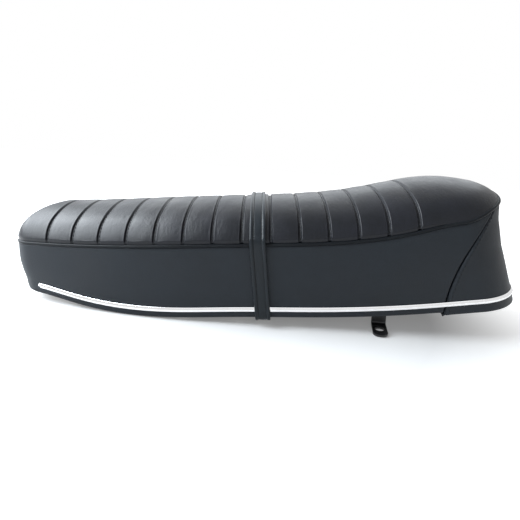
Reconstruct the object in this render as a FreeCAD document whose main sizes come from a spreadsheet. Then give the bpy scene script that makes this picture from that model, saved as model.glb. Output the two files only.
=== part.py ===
import FreeCAD, Part
import math
import os
import Sketcher

# A moped dual seat: a pressed pan, a foam block and a sewn cover with a pleated top.
# X runs from the nose to the rear, Z is up, and Z = 0 is the underside of the mounting feet.
SIZES = {
    "half_width_hem": 110.0,
    "half_width_rim": 112.0,
    "half_width_seam": 112.5,
    "half_width_shoulder": 112.5,
    "half_width_top": 112.0,
    "nose_hem": -337.0,
    "nose_rim": -345.0,
    "nose_seam": -347.0,
    "nose_shoulder": -346.0,
    "nose_top": -344.0,
    "rear_hem": 377.0,
    "rear_rim": 360.0,
    "rear_seam": 335.0,
    "rear_shoulder": 325.5,
    "rear_top": 317.0,
    "level_hem": 15.0,
    "level_rim": 60.0,
    "level_seam": 120.0,
    "level_shoulder": 155.0,
    "level_top": 235.0,
    "nose_corner": 35.0,
    "rear_corner": 75.0,
    "rear_end_radius": 260.0,
    "taper_start": -90.0,
    "taper_radius": 911.0,
    "ridge_nose": 168.0,
    "ridge_front": 170.0,
    "ridge_middle": 175.0,
    "ridge_waist": 178.5,
    "ridge_rise": 187.0,
    "ridge_step": 200.0,
    "ridge_hump": 205.5,
    "ridge_tail": 196.5,
    "ridge_end": 182.0,
    "crown_nose": 46.0,
    "crown_front": 48.0,
    "crown_middle": 50.0,
    "crown_rise": 54.0,
    "crown_step": 55.0,
    "crown_hump": 50.0,
    "crown_round": 0.7,
    "crown_shoulder": 12.0,
    "hem_nose": 53.5,
    "hem_front": 49.0,
    "hem_sweep": 37.5,
    "hem_level": 26.0,
    "hem_kick": 32.5,
    "hem_rear": 40.0,
    "hem_end": 46.0,
    "rear_hem_drop": 4.5,
    "groove_count": 14.0,
    "groove_first": -288.0,
    "groove_pitch": 37.1,
    "groove_width": 5.0,
    "groove_depth": 2.2,
    "groove_side_depth": 1.1,
    "pleat_round": 0.7,
    "panel_thick": 5.0,
    "cover_thick": 2.5,
    "piping_radius": 2.2,
    "clearance": 0.3,
    "foam_gap": 1.5,
    "seat_middle": 8.8,
    "lip_width": 14.0,
    "pan_sheet": 1.5,
    "pan_level": 58.5,
    "pan_flange": 9.0,
    "rib_length": 190.0,
    "rib_spread": 46.0,
    "rib_radius": 5.0,
    "rib_centre": -30.0,
    "vent_radius": 9.0,
    "vent_pitch": 75.0,
    "vent_first": -135.0,
    "seam_top_x": 305.0,
    "seam_foot_x": 236.0,
    "trim_above_hem": 12.6,
    "trim_height": 6.6,
    "trim_edge": 1.2,
    "trim_crest": 2.8,
    "trim_front": -312.0,
    "stud_radius": 2.0,
    "stud_length": 10.0,
    "stud_front": -70.0,
    "stud_pitch": 135.0,
    "nut_flats": 7.0,
    "nut_thick": 3.2,
    "strap_x": -8.0,
    "strap_lean": 7.0,
    "strap_width": 20.5,
    "strap_thick": 2.2,
    "strap_roll": 1.1,
    "strap_tab": 17.0,
    "screw_radius": 2.0,
    "screw_head": 4.2,
    "screw_rise": 2.4,
    "washer_radius": 6.0,
    "washer_thick": 1.0,
    "bracket_x": 162.0,
    "bracket_toe": 10.5,
    "bracket_width": 20.0,
    "bracket_sheet": 3.0,
    "bracket_leg": 75.0,
    "bracket_tip": 115.0,
    "bracket_flange": 31.0,
    "bracket_drop": 58.5,
    "bracket_hole_y": 96.0,
    "bracket_hole": 12.5,
    "bend_radius": 3.0,
    "rivet_radius": 2.4,
    "rivet_head": 4.8,
    "rivet_rise": 2.2,
    "rivet_spread": 11.0,
    "hook_width": 34.0,
    "hook_sheet": 2.5,
    "hook_flange": 37.0,
    "hook_leg": 205.0,
    "hook_tip": 262.0,
    "hook_drop": 12.5,
    "buffer_radius": 12.0,
    "buffer_foot": 10.5,
    "buffer_height": 20.0,
    "buffer_stem": 4.0,
    "buffer_front": -215.0,
    "buffer_rear": 205.0,
    "buffer_spread": 66.0,
    "clip_length": 14.0,
    "clip_sheet": 0.8,
    "clip_grip": 9.0,
    "clip_first": -110.0,
    "clip_pitch": 75.0,
}

# Stations along X through which the long profiles of the seat run
RIDGE = {-370: "ridge_nose", -230: "ridge_front", -90: "ridge_middle", 30: "ridge_waist",
         130: "ridge_rise", 200: "ridge_step", 255: "ridge_hump", 321: "ridge_tail", 400: "ridge_end"}
CROWN = {-370: "crown_nose", -200: "crown_front", -60: "crown_middle", 130: "crown_rise",
         190: "crown_step", 240: "crown_hump", 400: "crown_hump"}
HEM = {-370: "hem_nose", -310: "hem_front", -255: "hem_sweep", -165: "hem_level", -40: "hem_level",
       80: "hem_level", 220: "hem_kick", 300: "hem_rear", 400: "hem_end"}
LEVELS = ("hem", "rim", "seam", "shoulder", "top")

# How far the shaping solids reach past the seat on every side
FAR_X = 400.0
FAR_Y = 150.0
FAR_Z = 260.0
# Squareness of the nose in plan: 2 would be an ellipse
NOSE_POWER = 5.0
# Fineness of the soft surfaces
ACROSS_STEPS = 6
END_ROWS = 7
REAR_STEPS = 6
REAR_COLUMNS = 20
CORNER_STEPS = 8
SIDE_STEPS = 10
SIDE_POWER = 1.8
WALL_ROWS = 4
PIPING_SIDES = 8
STUDS_PER_SIDE = 3
CLIPS_PER_SIDE = 3
VENTS = 4

doc = FreeCAD.newDocument("moped_seat")
sheet = doc.addObject("Spreadsheet::Sheet", "sizes")
for row, (alias, value) in enumerate(SIZES.items(), start=1):
    sheet.set("A%d" % row, alias)
    sheet.set("B%d" % row, "%g" % value)
    sheet.setAlias("B%d" % row, alias)
doc.recompute()

Vector = FreeCAD.Vector
AXIS_X = Vector(1, 0, 0)
AXIS_Y = Vector(0, 1, 0)
AXIS_Z = Vector(0, 0, 1)
parts = []


def size(alias):
    return float(sheet.get(alias))


def keep(feature, label):
    """Name a finished sub-part, and list it for export."""
    feature.Label = label
    parts.append(feature)
    return feature


def feature(name, shape):
    """A document object around a shape that no stock feature makes."""
    made = doc.addObject("Part::Feature", name)
    made.Shape = shape
    return made


def common(name, *shapes):
    made = doc.addObject("Part::MultiCommon", name)
    made.Shapes = list(shapes)
    return made


def fuse(name, *shapes):
    made = doc.addObject("Part::MultiFuse", name)
    made.Shapes = list(shapes)
    return made


def cut(name, base, tool):
    made = doc.addObject("Part::Cut", name)
    made.Base = base
    made.Tool = tool
    return made


def profile(stations):
    """A smooth height over X through named sizes."""
    curve = Part.BSplineCurve()
    points = [Vector(x, 0, size(alias)) for x, alias in stations.items()]
    curve.interpolate(Points=points, Parameters=list(stations))
    return curve


ridge = profile(RIDGE)
crown = profile(CROWN)
hem = profile(HEM)


def hem_at(x):
    return hem.value(x).z


def tangent_outline(width, nose, rear, inset):
    """Arcs and lines of one plan outline, each tangent to the next, from the rear anticlockwise."""
    width = width - inset
    nose = nose + inset
    rear = rear - inset
    end_r = size("rear_end_radius") - inset
    corner_r = size("rear_corner") - inset
    taper_r = size("taper_radius") - inset
    nose_r = size("nose_corner") - inset
    end_c = Vector(rear - end_r, 0, 0)
    corner_y = width - corner_r
    corner_c = Vector(end_c.x + math.sqrt((end_r - corner_r) ** 2 - corner_y ** 2), corner_y, 0)
    taper_c = Vector(size("taper_start"), width - taper_r, 0)
    nose_x = nose + nose_r
    nose_c = Vector(nose_x, taper_c.y + math.sqrt((taper_r - nose_r) ** 2 - (nose_x - taper_c.x) ** 2), 0)
    end_angle = math.atan2(corner_c.y, corner_c.x - end_c.x)
    nose_angle = math.atan2(nose_c.y - taper_c.y, nose_c.x - taper_c.x)

    def arc(centre, radius, start, stop):
        circle = Part.Circle(centre, AXIS_Z, radius)
        return Part.ArcOfCircle(circle, start, stop)

    def mirrored(centre):
        return Vector(centre.x, -centre.y, 0)

    quarter = math.pi / 2
    return [
        arc(end_c, end_r, -end_angle, end_angle),
        arc(corner_c, corner_r, end_angle, quarter),
        Part.LineSegment(Vector(corner_c.x, width, 0), Vector(taper_c.x, width, 0)),
        arc(taper_c, taper_r, quarter, nose_angle),
        arc(nose_c, nose_r, nose_angle, math.pi),
        Part.LineSegment(Vector(nose, nose_c.y, 0), Vector(nose, -nose_c.y, 0)),
        arc(mirrored(nose_c), nose_r, math.pi, 2 * math.pi - nose_angle),
        arc(mirrored(taper_c), taper_r, 2 * math.pi - nose_angle, 3 * quarter),
        Part.LineSegment(Vector(taper_c.x, -width, 0), Vector(corner_c.x, -width, 0)),
        arc(mirrored(corner_c), corner_r, 3 * quarter, 2 * math.pi - end_angle),
    ]


def outline(name, level, inset):
    """A constrained sketch of the plan at one level, set in from the cover's face by an expression."""
    sketch = doc.addObject("Sketcher::SketchObject", name)
    depth = float(sheet.evalExpression(inset))
    shapes = tangent_outline(size("half_width_" + level), size("nose_" + level), size("rear_" + level), depth)
    count = len(shapes)
    sketch.addGeometry(shapes, False)
    for index in range(count):
        sketch.addConstraint(Sketcher.Constraint("Tangent", index, 2, (index + 1) % count, 1))
    sketch.addConstraint(Sketcher.Constraint("Horizontal", 2))
    sketch.addConstraint(Sketcher.Constraint("Horizontal", 8))
    sketch.addConstraint(Sketcher.Constraint("Vertical", 5))
    sketch.addConstraint(Sketcher.Constraint("PointOnObject", 0, 3, -1))
    sketch.addConstraint(Sketcher.Constraint("Equal", 1, 9))
    sketch.addConstraint(Sketcher.Constraint("Equal", 3, 7))
    sketch.addConstraint(Sketcher.Constraint("Equal", 4, 6))
    sketch.addConstraint(Sketcher.Constraint("Symmetric", 2, 2, 8, 1, -1))

    def drive(kind, *where, value, rule, label):
        number = sketch.addConstraint(Sketcher.Constraint(kind, *where, value))
        sketch.renameConstraint(number, label)
        sketch.setExpression("Constraints." + label, rule)

    drive("Radius", 0, value=shapes[0].Radius, rule="sizes.rear_end_radius - " + inset, label="rear_end")
    drive("Radius", 1, value=shapes[1].Radius, rule="sizes.rear_corner - " + inset, label="rear_corner")
    drive("Radius", 3, value=shapes[3].Radius, rule="sizes.taper_radius - " + inset, label="taper")
    drive("Radius", 4, value=shapes[4].Radius, rule="sizes.nose_corner - " + inset, label="nose_corner")
    drive("DistanceX", -1, 1, 0, 3, value=shapes[0].Center.x,
          rule="sizes.rear_%s - sizes.rear_end_radius" % level, label="rear_centre")
    drive("DistanceX", 5, 1, -1, 1, value=-shapes[5].StartPoint.x,
          rule="-sizes.nose_%s - %s" % (level, inset), label="nose")
    drive("DistanceX", 2, 2, -1, 1, value=-shapes[2].EndPoint.x,
          rule="-sizes.taper_start", label="taper_start")
    drive("DistanceY", -1, 1, 2, 2, value=shapes[2].EndPoint.y,
          rule="sizes.half_width_%s - %s" % (level, inset), label="half_width")
    sketch.setExpression("Placement.Base.z", "sizes.level_" + level)
    return sketch


def column(name, inset):
    """The flaring body of the seat, lofted through the plan outlines and set in by an expression."""
    loft = doc.addObject("Part::Loft", name)
    loft.Sections = [outline("%s_%s" % (name, level), level, inset) for level in LEVELS]
    loft.Solid = True
    loft.Ruled = True
    return loft


def side_prism(name, corners):
    """A block across the seat with the given outline of X and Z."""
    points = [Vector(x, -FAR_Y, z) for x, z in corners]
    face = Part.Face(Part.makePolygon(points + points[:1]))
    return feature(name, face.extrude(AXIS_Y * 2 * FAR_Y))


def crown_share(reach):
    """Height of the crown over its edge, from 1 on the ridge to 0 at the wall."""
    rounded = size("crown_round")
    return 1 - rounded * reach ** 2 - (1 - rounded) * reach ** size("crown_shoulder")


def over_levels(prefix, z):
    """A size of the plan outline at a height, straight from each level to the next."""
    heights = [size("level_" + level) for level in LEVELS]
    values = [size(prefix + level) for level in LEVELS]
    number = 0
    while number < len(LEVELS) - 2 and z > heights[number + 1]:
        number = number + 1
    share = (z - heights[number]) / (heights[number + 1] - heights[number])
    return values[number] + share * (values[number + 1] - values[number])


# Height of the panel's top edge over the middle of the piping
edge_lift = size("piping_radius") + size("clearance") + size("panel_thick")


def crown_height(x, reach):
    """Height of the top panel, with reach from 0 on the ridge to 1 at its edge."""
    rise = crown.value(x).z - edge_lift
    return ridge.value(x).z - rise * (1 - crown_share(reach))


def seam_height(point):
    """Height of the piping at a point of the wall."""
    reach = 1.0
    if point.x > size("taper_start"):
        reach = min(abs(point.y) / size("half_width_seam"), 1.0)
    return crown_height(point.x, reach) - edge_lift


def seam_line(z):
    """X of the sewn seam between the side band and the rear panel."""
    share = (z - size("hem_rear")) / (size("ridge_tail") - size("hem_rear"))
    return size("seam_foot_x") + share * (size("seam_top_x") - size("seam_foot_x"))


def half_walk(z, inset):
    """Edges of the right half of the outline at a height, from the rear's middle to the nose's."""
    width, nose_x, rear_x = [over_levels(prefix, z) for prefix in ("half_width_", "nose_", "rear_")]
    shapes = tangent_outline(width, nose_x, rear_x, inset)
    end, corner, side, taper, nose, front = shapes[:6]
    half_end = Part.ArcOfCircle(Part.Circle(end.Center, AXIS_Z, end.Radius), 0.0, end.LastParameter)
    half_front = Part.LineSegment(front.StartPoint, Vector(front.StartPoint.x, 0, 0))
    return [half_end, corner, side, taper, nose, half_front]


def walk_marks(z, inset):
    """Distances along half_walk to its marks.

    They are the rear's middle, the rear corner, the sewn seam, the taper, the nose corner, the front and
    the nose's middle, and then the end of the rear corner and the front end of the bright trim.
    """
    walk = half_walk(z, inset)
    lengths = [piece.length() for piece in walk]
    corner = walk[1]
    seam_x = seam_line(z)
    if seam_x < corner.Center.x:
        seam = lengths[0] + lengths[1] + corner.Center.x - seam_x
    else:
        angle = math.acos(min((seam_x - corner.Center.x) / corner.Radius, 1.0))
        seam = lengths[0] + corner.Radius * max(angle - corner.FirstParameter, 0.0)
    marks = [0.0, lengths[0], seam]
    for count in range(3, 7):
        marks.append(sum(lengths[:count]))
    marks.append(lengths[0] + lengths[1])
    turn = math.asin((size("taper_start") - size("trim_front")) / size("taper_radius"))
    marks.append(marks[3] + turn * walk[3].Radius)
    return walk, marks


def walk_point(walk, distance):
    for piece in walk:
        if distance <= piece.length() or piece is walk[-1]:
            return piece.value(piece.parameterAtDistance(distance, piece.FirstParameter))
        distance = distance - piece.length()


def spaced(first, last, count):
    return [first + (last - first) * step / count for step in range(count)]


def graded(first, last, count):
    """Like spaced, but closer together near the first end."""
    return [first + (last - first) * (step / count) ** SIDE_POWER for step in range(count)]


def shares(marks, whole):
    """Where the columns of a wall lie along the half outline, for the side band or the rear panel."""
    if whole == "rear":
        seam = marks[2] - size("clearance")
        return spaced(marks[0], seam, REAR_COLUMNS) + [seam]
    if whole == "trim":
        columns = spaced(marks[0], marks[1], REAR_STEPS) + spaced(marks[1], marks[7], CORNER_STEPS)
        columns = columns + spaced(marks[7], marks[3], SIDE_STEPS)
        return columns + spaced(marks[3], marks[8], CORNER_STEPS) + [marks[8]]
    columns = graded(marks[2], marks[3], SIDE_STEPS) + spaced(marks[3], marks[4], CORNER_STEPS)
    columns = columns + spaced(marks[4], marks[5], CORNER_STEPS)
    return columns + spaced(marks[5], marks[6], 2) + [marks[6]]


def wall_point(whole, column_number, share, inset, lift, drop):
    """A point of the wall between hem (share 0) and piping (share 1), set in and lifted."""
    z = size("level_rim")
    for step in range(5):
        walk, marks = walk_marks(z, 0.0)
        point = walk_point(walk, shares(marks, whole)[column_number])
        low = hem_at(point.x) - drop
        high = seam_height(point) - size("piping_radius") - size("clearance")
        z = low + (high - low) * share + lift
    walk, marks = walk_marks(z, inset)
    point = walk_point(walk, shares(marks, whole)[column_number])
    return Vector(point.x, point.y, z)


def flattened(line):
    """The points of a nearly flat outline, moved onto one plane."""
    normal = (line[len(line) // 2] - line[0]).cross(line[-1] - line[1])
    middle = sum(line, Vector(0, 0, 0)) / len(line)
    return [point.projectToPlane(middle, normal) for point in line]


def round_sheet(whole, section, drop):
    """A strip round the seat, lofted through upright sections of (share, inset, lift)."""
    count = len(shares(walk_marks(size("level_rim"), 0.0)[1], whole))
    half = [[wall_point(whole, number, share, inset, lift, drop) for share, inset, lift in section]
            for number in range(count)]
    mirror = [[Vector(point.x, -point.y, point.z) for point in line] for line in half]
    lines = mirror[:0:-1] + half
    if whole == "side":
        lines = half + mirror[-2::-1]
    lines[0] = flattened(lines[0])
    lines[-1] = flattened(lines[-1])
    return section_loft(lines)


def wall_sheet(whole, drop):
    """A wall of the cover with its edge folded in under the pan's rim."""
    thick = size("cover_thick")
    rows = [(row / WALL_ROWS, 0.0, 0.0) for row in range(WALL_ROWS, 0, -1)]
    face = rows + [(0.0, 0.0, thick), (0.0, 0.25 * thick, 0.25 * thick), (0.0, thick, 0.0)]
    back = [(share, thick, 0.0) for share, inset, lift in reversed(rows)]
    lip = [(0.0, size("lip_width"), drop), (0.0, size("lip_width"), drop + thick), (0.0, thick, drop + thick)]
    return round_sheet(whole, face + lip + back, drop)


def section_loft(sections):
    """A solid lofted through flat closed outlines of points."""
    return Part.makeLoft([Part.makePolygon(line + line[:1]) for line in sections], True, True)


def mirrored_pair(shape):
    """A shape and its mirror image on the other side of the seat."""
    return [shape, shape.mirror(Vector(0, 0, 0), AXIS_Y)]


def edge_point(rule, lift, inset):
    """A point of the outline at the height of the piping, raised; rule gives its distance from the rear."""
    z = size("level_seam")
    for step in range(6):
        walk, marks = walk_marks(z, inset)
        point = walk_point(walk, rule(walk, marks))
        z = seam_height(point) + lift
    return Vector(point.x, point.y, z)


def rear_corner(walk, marks):
    return (marks[1] + marks[7]) / 2


def nose_corner(walk, marks):
    return (marks[4] + marks[5]) / 2


def beside(x):
    """A rule for edge_point: the place on the side where X is x."""
    def rule(walk, marks):
        past = size("taper_start") - x
        if past <= 0:
            return marks[3] + past
        return marks[3] + walk[3].Radius * math.asin(past / walk[3].Radius)
    return rule


def between(first, last, share):
    def rule(walk, marks):
        return first(walk, marks) * (1 - share) + last(walk, marks) * share
    return rule


def rear_middle(walk, marks):
    return marks[0]


def nose_middle(walk, marks):
    return marks[6]


def beyond(x):
    """A rule for edge_point: the place on the outline where X is x, found by halving."""
    def rule(walk, marks):
        first, last = marks[0], marks[6]
        for step in range(24):
            middle = (first + last) / 2
            if walk_point(walk, middle).x > x:
                first = middle
            else:
                last = middle
        return (first + last) / 2
    return rule


def sunk(x):
    """How deep a groove is at X: 1 in its sewn floor, 0 on the crest of a pleat."""
    along = (x - size("groove_first")) / size("groove_pitch")
    nearest = min(max(round(along), 0), size("groove_count") - 1)
    off = abs(x - size("groove_first") - nearest * size("groove_pitch"))
    half = size("groove_width") / 2
    if off <= half:
        return 1.0
    flank = min((off - half) / (size("groove_pitch") / 2 - half), 1.0)
    return (size("pleat_round") / size("groove_depth")) * (1 - flank) ** 2


groove_last = size("groove_first") + (size("groove_count") - 1) * size("groove_pitch")
groove_half = size("groove_width") / 2
groove_bank = 2.0
nose_start = size("groove_first") - groove_half - groove_bank
tail_start = groove_last + groove_half + groove_bank
nose_tip = edge_point(nose_middle, edge_lift, 0.0).x
tail_tip = edge_point(rear_middle, edge_lift, 0.0).x - size("clearance")
ACROSS = [math.sin(math.pi / 2 * step / ACROSS_STEPS) for step in range(-ACROSS_STEPS, ACROSS_STEPS + 1)]
ENDWAYS = [math.sin(math.pi / 2 * step / END_ROWS) for step in range(1, END_ROWS + 1)]


def panel_stations(pleated):
    """Places along X of the top panel's sections, from the nose to the rear."""
    pitch = size("groove_pitch")
    offsets = [0.0, pitch / 2]
    if pleated:
        bank = groove_half + groove_bank
        offsets = [-bank, -groove_half, groove_half, bank, pitch * 0.35, pitch * 0.65]
    stations = [nose_start]
    for groove in range(int(size("groove_count"))):
        stations += [size("groove_first") + groove * pitch + offset for offset in offsets]
    stations = sorted({round(x, 3) for x in stations if x < tail_start}) + [tail_start]
    nose = [nose_start + (nose_tip - nose_start) * along for along in reversed(ENDWAYS)]
    tail = [tail_start + (tail_tip - tail_start) * along for along in [ENDWAYS[0] / 2] + ENDWAYS]
    return nose + stations + tail


def panel_row(x, pleated):
    """Points of the top panel across the seat at X."""
    depth = sunk(x) if pleated else 0.0
    rule = beside(x) if nose_start <= x <= tail_start else beyond(x)
    width = edge_point(rule, edge_lift, 0.0).y - depth * size("groove_side_depth")
    along = max((nose_start - x) / (nose_start - nose_tip), 0.0) ** NOSE_POWER
    row = []
    for across in ACROSS:
        reach = (1 - (1 - along) * (1 - abs(across) ** NOSE_POWER)) ** (1 / NOSE_POWER)
        if x > tail_start:
            reach = min(abs(across) * width / size("half_width_seam"), 1.0)
        row.append(Vector(x, across * width, crown_height(x, reach) - depth * size("groove_depth")))
    return row


def lowered(row, drop):
    return [point - AXIS_Z * drop for point in row]


# Cover pieces of the walls, each one folded sheet
side_band = feature("side_band_blank", wall_sheet("side", 0.0))
rear_panel = keep(feature("rear_panel", wall_sheet("rear", size("rear_hem_drop"))), "rear_panel")

# Pleated top panel
panel_sections = []
for x in panel_stations(True):
    under = lowered(panel_row(x, False), size("panel_thick"))
    panel_sections.append(panel_row(x, True) + under[::-1])
keep(feature("top_panel", section_loft(panel_sections)), "top_panel")

# Piping in the seam between the top panel and the walls
seam_stops = (rear_middle, rear_corner, beside(tail_start), beside(size("taper_start")),
              beside(nose_start), nose_corner, nose_middle)
seam_points = []
for first, last in zip(seam_stops, seam_stops[1:]):
    for share in spaced(0.0, 1.0, CORNER_STEPS):
        seam_points.append(edge_point(between(first, last, share), 0.0, -size("clearance")))
seam_points.append(edge_point(nose_middle, 0.0, -size("clearance")))
seam_rings = []
neighbours = zip(seam_points[:1] + seam_points, seam_points, seam_points[1:] + seam_points[-1:])
piping_turns = spaced(0.0, 2 * math.pi, PIPING_SIDES)
for before, point, after in neighbours:
    along = Vector(after.x - before.x, after.y - before.y, 0)
    if point.y < 0.01:
        along = AXIS_Y
    outward = along.cross(AXIS_Z).normalize()
    corners = [outward * math.cos(turn) + AXIS_Z * math.sin(turn) for turn in piping_turns]
    seam_rings.append([point + corner * size("piping_radius") for corner in corners])
piping_right, piping_left = mirrored_pair(section_loft(seam_rings))
keep(feature("piping", piping_right.fuse(piping_left)), "piping")

# Bright trim with a crease along its middle, and the studs welded to its back
trim_low = size("trim_above_hem") - size("trim_height") / 2
trim_high = trim_low + size("trim_height")
trim_back = -1.5 * size("clearance")
trim_section = [(0.0, trim_back, trim_low), (0.0, -size("trim_edge"), trim_low),
                (0.0, -size("trim_crest"), size("trim_above_hem")),
                (0.0, -size("trim_edge"), trim_high), (0.0, trim_back, trim_high)]
trim_strip = feature("trim_strip", round_sheet("trim", trim_section, 0.0))
stud_places = [size("stud_front") + step * size("stud_pitch") for step in range(STUDS_PER_SIDE)]
stud_start = size("half_width_rim") + 2 * size("clearance")
studs = []
for x in stud_places:
    start = Vector(x, stud_start, hem_at(x) + size("trim_above_hem"))
    studs += mirrored_pair(Part.makeCylinder(size("stud_radius"), size("stud_length"), start, -AXIS_Y))
stud_group = feature("stud_group", Part.makeCompound(studs))
chrome_trim = keep(fuse("chrome_trim", trim_strip, stud_group), "chrome_trim")
stud_holes = feature("stud_holes", Part.makeCompound([
    stud.makeOffsetShape(size("clearance"), 0.01) for stud in studs]))

# Nuts on the trim's studs, inside the pan's skirt
skirt_depth = size("cover_thick") + size("foam_gap") + size("pan_sheet") + size("clearance")


def hexagon(flats, centre, direction, thick, bore):
    """A plain hexagonal nut along a direction."""
    corners = [Vector(math.cos(math.pi / 3 * step), math.sin(math.pi / 3 * step), 0) * flats / math.sqrt(3)
               for step in range(6)]
    blank = Part.Face(Part.makePolygon(corners + corners[:1])).extrude(AXIS_Z * thick)
    blank = blank.cut(Part.makeCylinder(bore, thick, Vector(0, 0, 0), AXIS_Z))
    blank.Placement = FreeCAD.Placement(centre, FreeCAD.Rotation(AXIS_Z, direction))
    return blank


nuts = []
for x in stud_places:
    level = hem_at(x) + size("trim_above_hem")
    centre = Vector(x, over_levels("half_width_", level) - skirt_depth, level)
    nuts += mirrored_pair(hexagon(size("nut_flats"), centre, -AXIS_Y, size("nut_thick"), size("stud_radius")))

# Foam block between the pan and the cover
block = column("block", "(sizes.cover_thick + sizes.foam_gap)")
pan_inside = column("pan_inside", "(sizes.cover_thick + sizes.foam_gap + sizes.pan_sheet)")
foam_drop = size("panel_thick") + size("foam_gap")
foam_roof = size("ridge_hump") + size("panel_thick")
roof_sections = []
for x in panel_stations(False):
    under = lowered(panel_row(x, False), foam_drop)
    roof = [Vector(x, point.y, foam_roof) for point in (under[-1], under[0])]
    roof_sections.append(under + roof)
above_foam = feature("above_foam", section_loft(roof_sections))
pan_top = size("pan_level") + size("pan_sheet")
foam_room = side_prism("foam_room", [(-FAR_X, pan_top), (FAR_X, pan_top),
                                     (FAR_X, foam_roof), (-FAR_X, foam_roof)])
foam_blank = common("foam_blank", block, foam_room)
foam_core = keep(cut("foam_core", foam_blank, above_foam), "foam_core")


def hem_slab(name, lift, roof):
    """A block across the seat between the hem line, lifted, and a level roof."""
    lower = hem.toShape()
    lower.translate(Vector(0, -FAR_Y, lift))
    first, last = hem.StartPoint, hem.EndPoint
    corners = [Vector(last.x, -FAR_Y, last.z + lift), Vector(last.x, -FAR_Y, roof),
               Vector(first.x, -FAR_Y, roof), Vector(first.x, -FAR_Y, first.z + lift)]
    face = Part.Face(Part.Wire([lower] + Part.makePolygon(corners).Edges))
    return feature(name, face.extrude(AXIS_Y * 2 * FAR_Y))


# Pressed pan: a tray turned upside down, with its rim turned in, ribs and vent holes
lip_top = size("cover_thick") + size("clearance")
pan_blank = common("pan_blank", block, hem_slab("pan_room", lip_top, pan_top))
pan_hollow = common("pan_hollow", pan_inside,
                    hem_slab("pan_recess", lip_top + size("pan_sheet"), size("pan_level")))
rim_mouth = doc.addObject("Part::Extrusion", "rim_mouth")
rim_mouth.Base = outline("rim_edge", "hem", "(sizes.cover_thick + sizes.clearance + sizes.pan_flange)")
rim_mouth.Dir = AXIS_Z
rim_mouth.DirMode = "Custom"
rim_mouth.setExpression("LengthFwd", "sizes.pan_level - sizes.level_hem")
rim_mouth.Solid = True
pan_tray = cut("pan_tray", cut("pan_shell", pan_blank, pan_hollow), rim_mouth)
rib_blanks = []
for side in (-1, 1):
    start = Vector(size("rib_centre") - size("rib_length") / 2, side * size("rib_spread"), size("pan_level"))
    rib_blanks.append(Part.makeCylinder(size("rib_radius"), size("rib_length"), start, AXIS_X))
rib_beads = feature("rib_beads", Part.makeCompound(rib_blanks))
under_plate = side_prism("under_plate", [(-FAR_X, 0), (FAR_X, 0), (FAR_X, pan_top), (-FAR_X, pan_top)])
ribs = common("ribs", rib_beads, under_plate)
pan_ribbed = fuse("pan_ribbed", pan_tray, ribs)


def upright(name, radius, points, low, high):
    """A group of upright cylinders, as cutting tools or pins."""
    pins = [Part.makeCylinder(radius, high - low, Vector(x, y, low), AXIS_Z) for x, y in points]
    return feature(name, Part.makeCompound(pins))


# Places of the fastenings on the pan
strap_foot_x = size("strap_x") + size("strap_lean")
screw_y = size("half_width_hem") - size("strap_tab") / 2
screw_points = [(strap_foot_x, -screw_y), (strap_foot_x, screw_y)]
rivet_row = size("bracket_leg") - size("bracket_flange") / 2
rivet_reach = size("rivet_spread") / 2


def bracket_place(side):
    """Place of a bracket, toed in about its bolt hole so that its foot points forward."""
    turn = FreeCAD.Rotation(AXIS_Z, 90 - side * 90 + side * size("bracket_toe"))
    hole = AXIS_Y * size("bracket_hole_y")
    return FreeCAD.Placement(AXIS_X * size("bracket_x") + hole * side - turn.multVec(hole), turn)


bracket_points = []
for side in (-1, 1):
    for step in (-1, 1):
        rivet = bracket_place(side).multVec(AXIS_Y * (rivet_row + step * rivet_reach))
        bracket_points.append((rivet.x, rivet.y))
hook_row = size("hook_leg") - size("hook_flange") / 2
hook_points = [(step * rivet_reach - hook_row, 0.0) for step in (-1, 1)]
buffer_points = [(x, side * size("buffer_spread")) for x in (size("buffer_front"), size("buffer_rear"))
                 for side in (-1, 1)]
vent_points = [(size("vent_first") + step * size("vent_pitch"), 0.0) for step in range(VENTS)]
hem_foot = hem_at(strap_foot_x)
gap = size("clearance")

pan_holes = fuse("pan_holes",
                 upright("screw_bores", size("screw_radius") + gap, screw_points, 0.0, size("pan_level") - 5),
                 upright("rivet_bores", size("rivet_radius") + gap, bracket_points + hook_points, 0.0, FAR_Z),
                 upright("buffer_bores", size("buffer_stem") + gap, buffer_points, 0.0, FAR_Z),
                 upright("vent_bores", size("vent_radius"), vent_points, 0.0, FAR_Z), stud_holes)
seat_pan = keep(cut("seat_pan", pan_ribbed, pan_holes), "seat_pan")
band_holes = fuse("band_holes",
                  upright("lip_bores", size("screw_radius") + gap, screw_points, 0.0, hem_foot + 10),
                  feature("stud_bores", stud_holes.Shape))
keep(cut("side_band", side_band, band_holes), "side_band")

# Passenger strap over the middle, with rolled edges and its ends folded under the hem
strap_x = size("strap_x")
strap_seam = ridge.value(strap_x).z - crown.value(strap_x).z
over_welt = size("half_width_seam") + 2 * gap + size("piping_radius")
over_trim = size("half_width_rim") + gap + size("trim_crest")
tab_level = hem_foot - 2 * gap
STRAP_REACH = (0.0, 0.2, 0.4, 0.56, 0.7, 0.8, 0.88, 0.94)
strap_line = [Vector(0, reach * size("half_width_seam"), crown_height(strap_x, reach) + 2 * gap)
              for reach in STRAP_REACH]
shoulder = crown_height(strap_x, 1.0)
strap_line.append(Vector(0, size("half_width_seam") * 0.985, crown_height(strap_x, 0.985) + 2 * gap))
strap_line.append(Vector(0, over_welt - 0.5, (shoulder + strap_seam) / 2 + 1))
strap_line += [Vector(0, over_welt, z) for z in (strap_seam, strap_seam - 6)]
trim_level = hem_foot + size("trim_above_hem")
for share in (0.3, 0.55, 0.8, 1.0):
    level = strap_seam + (trim_level - strap_seam) * share
    strap_line.append(Vector(0, over_welt + (over_trim - over_welt) * share, level))
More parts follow.
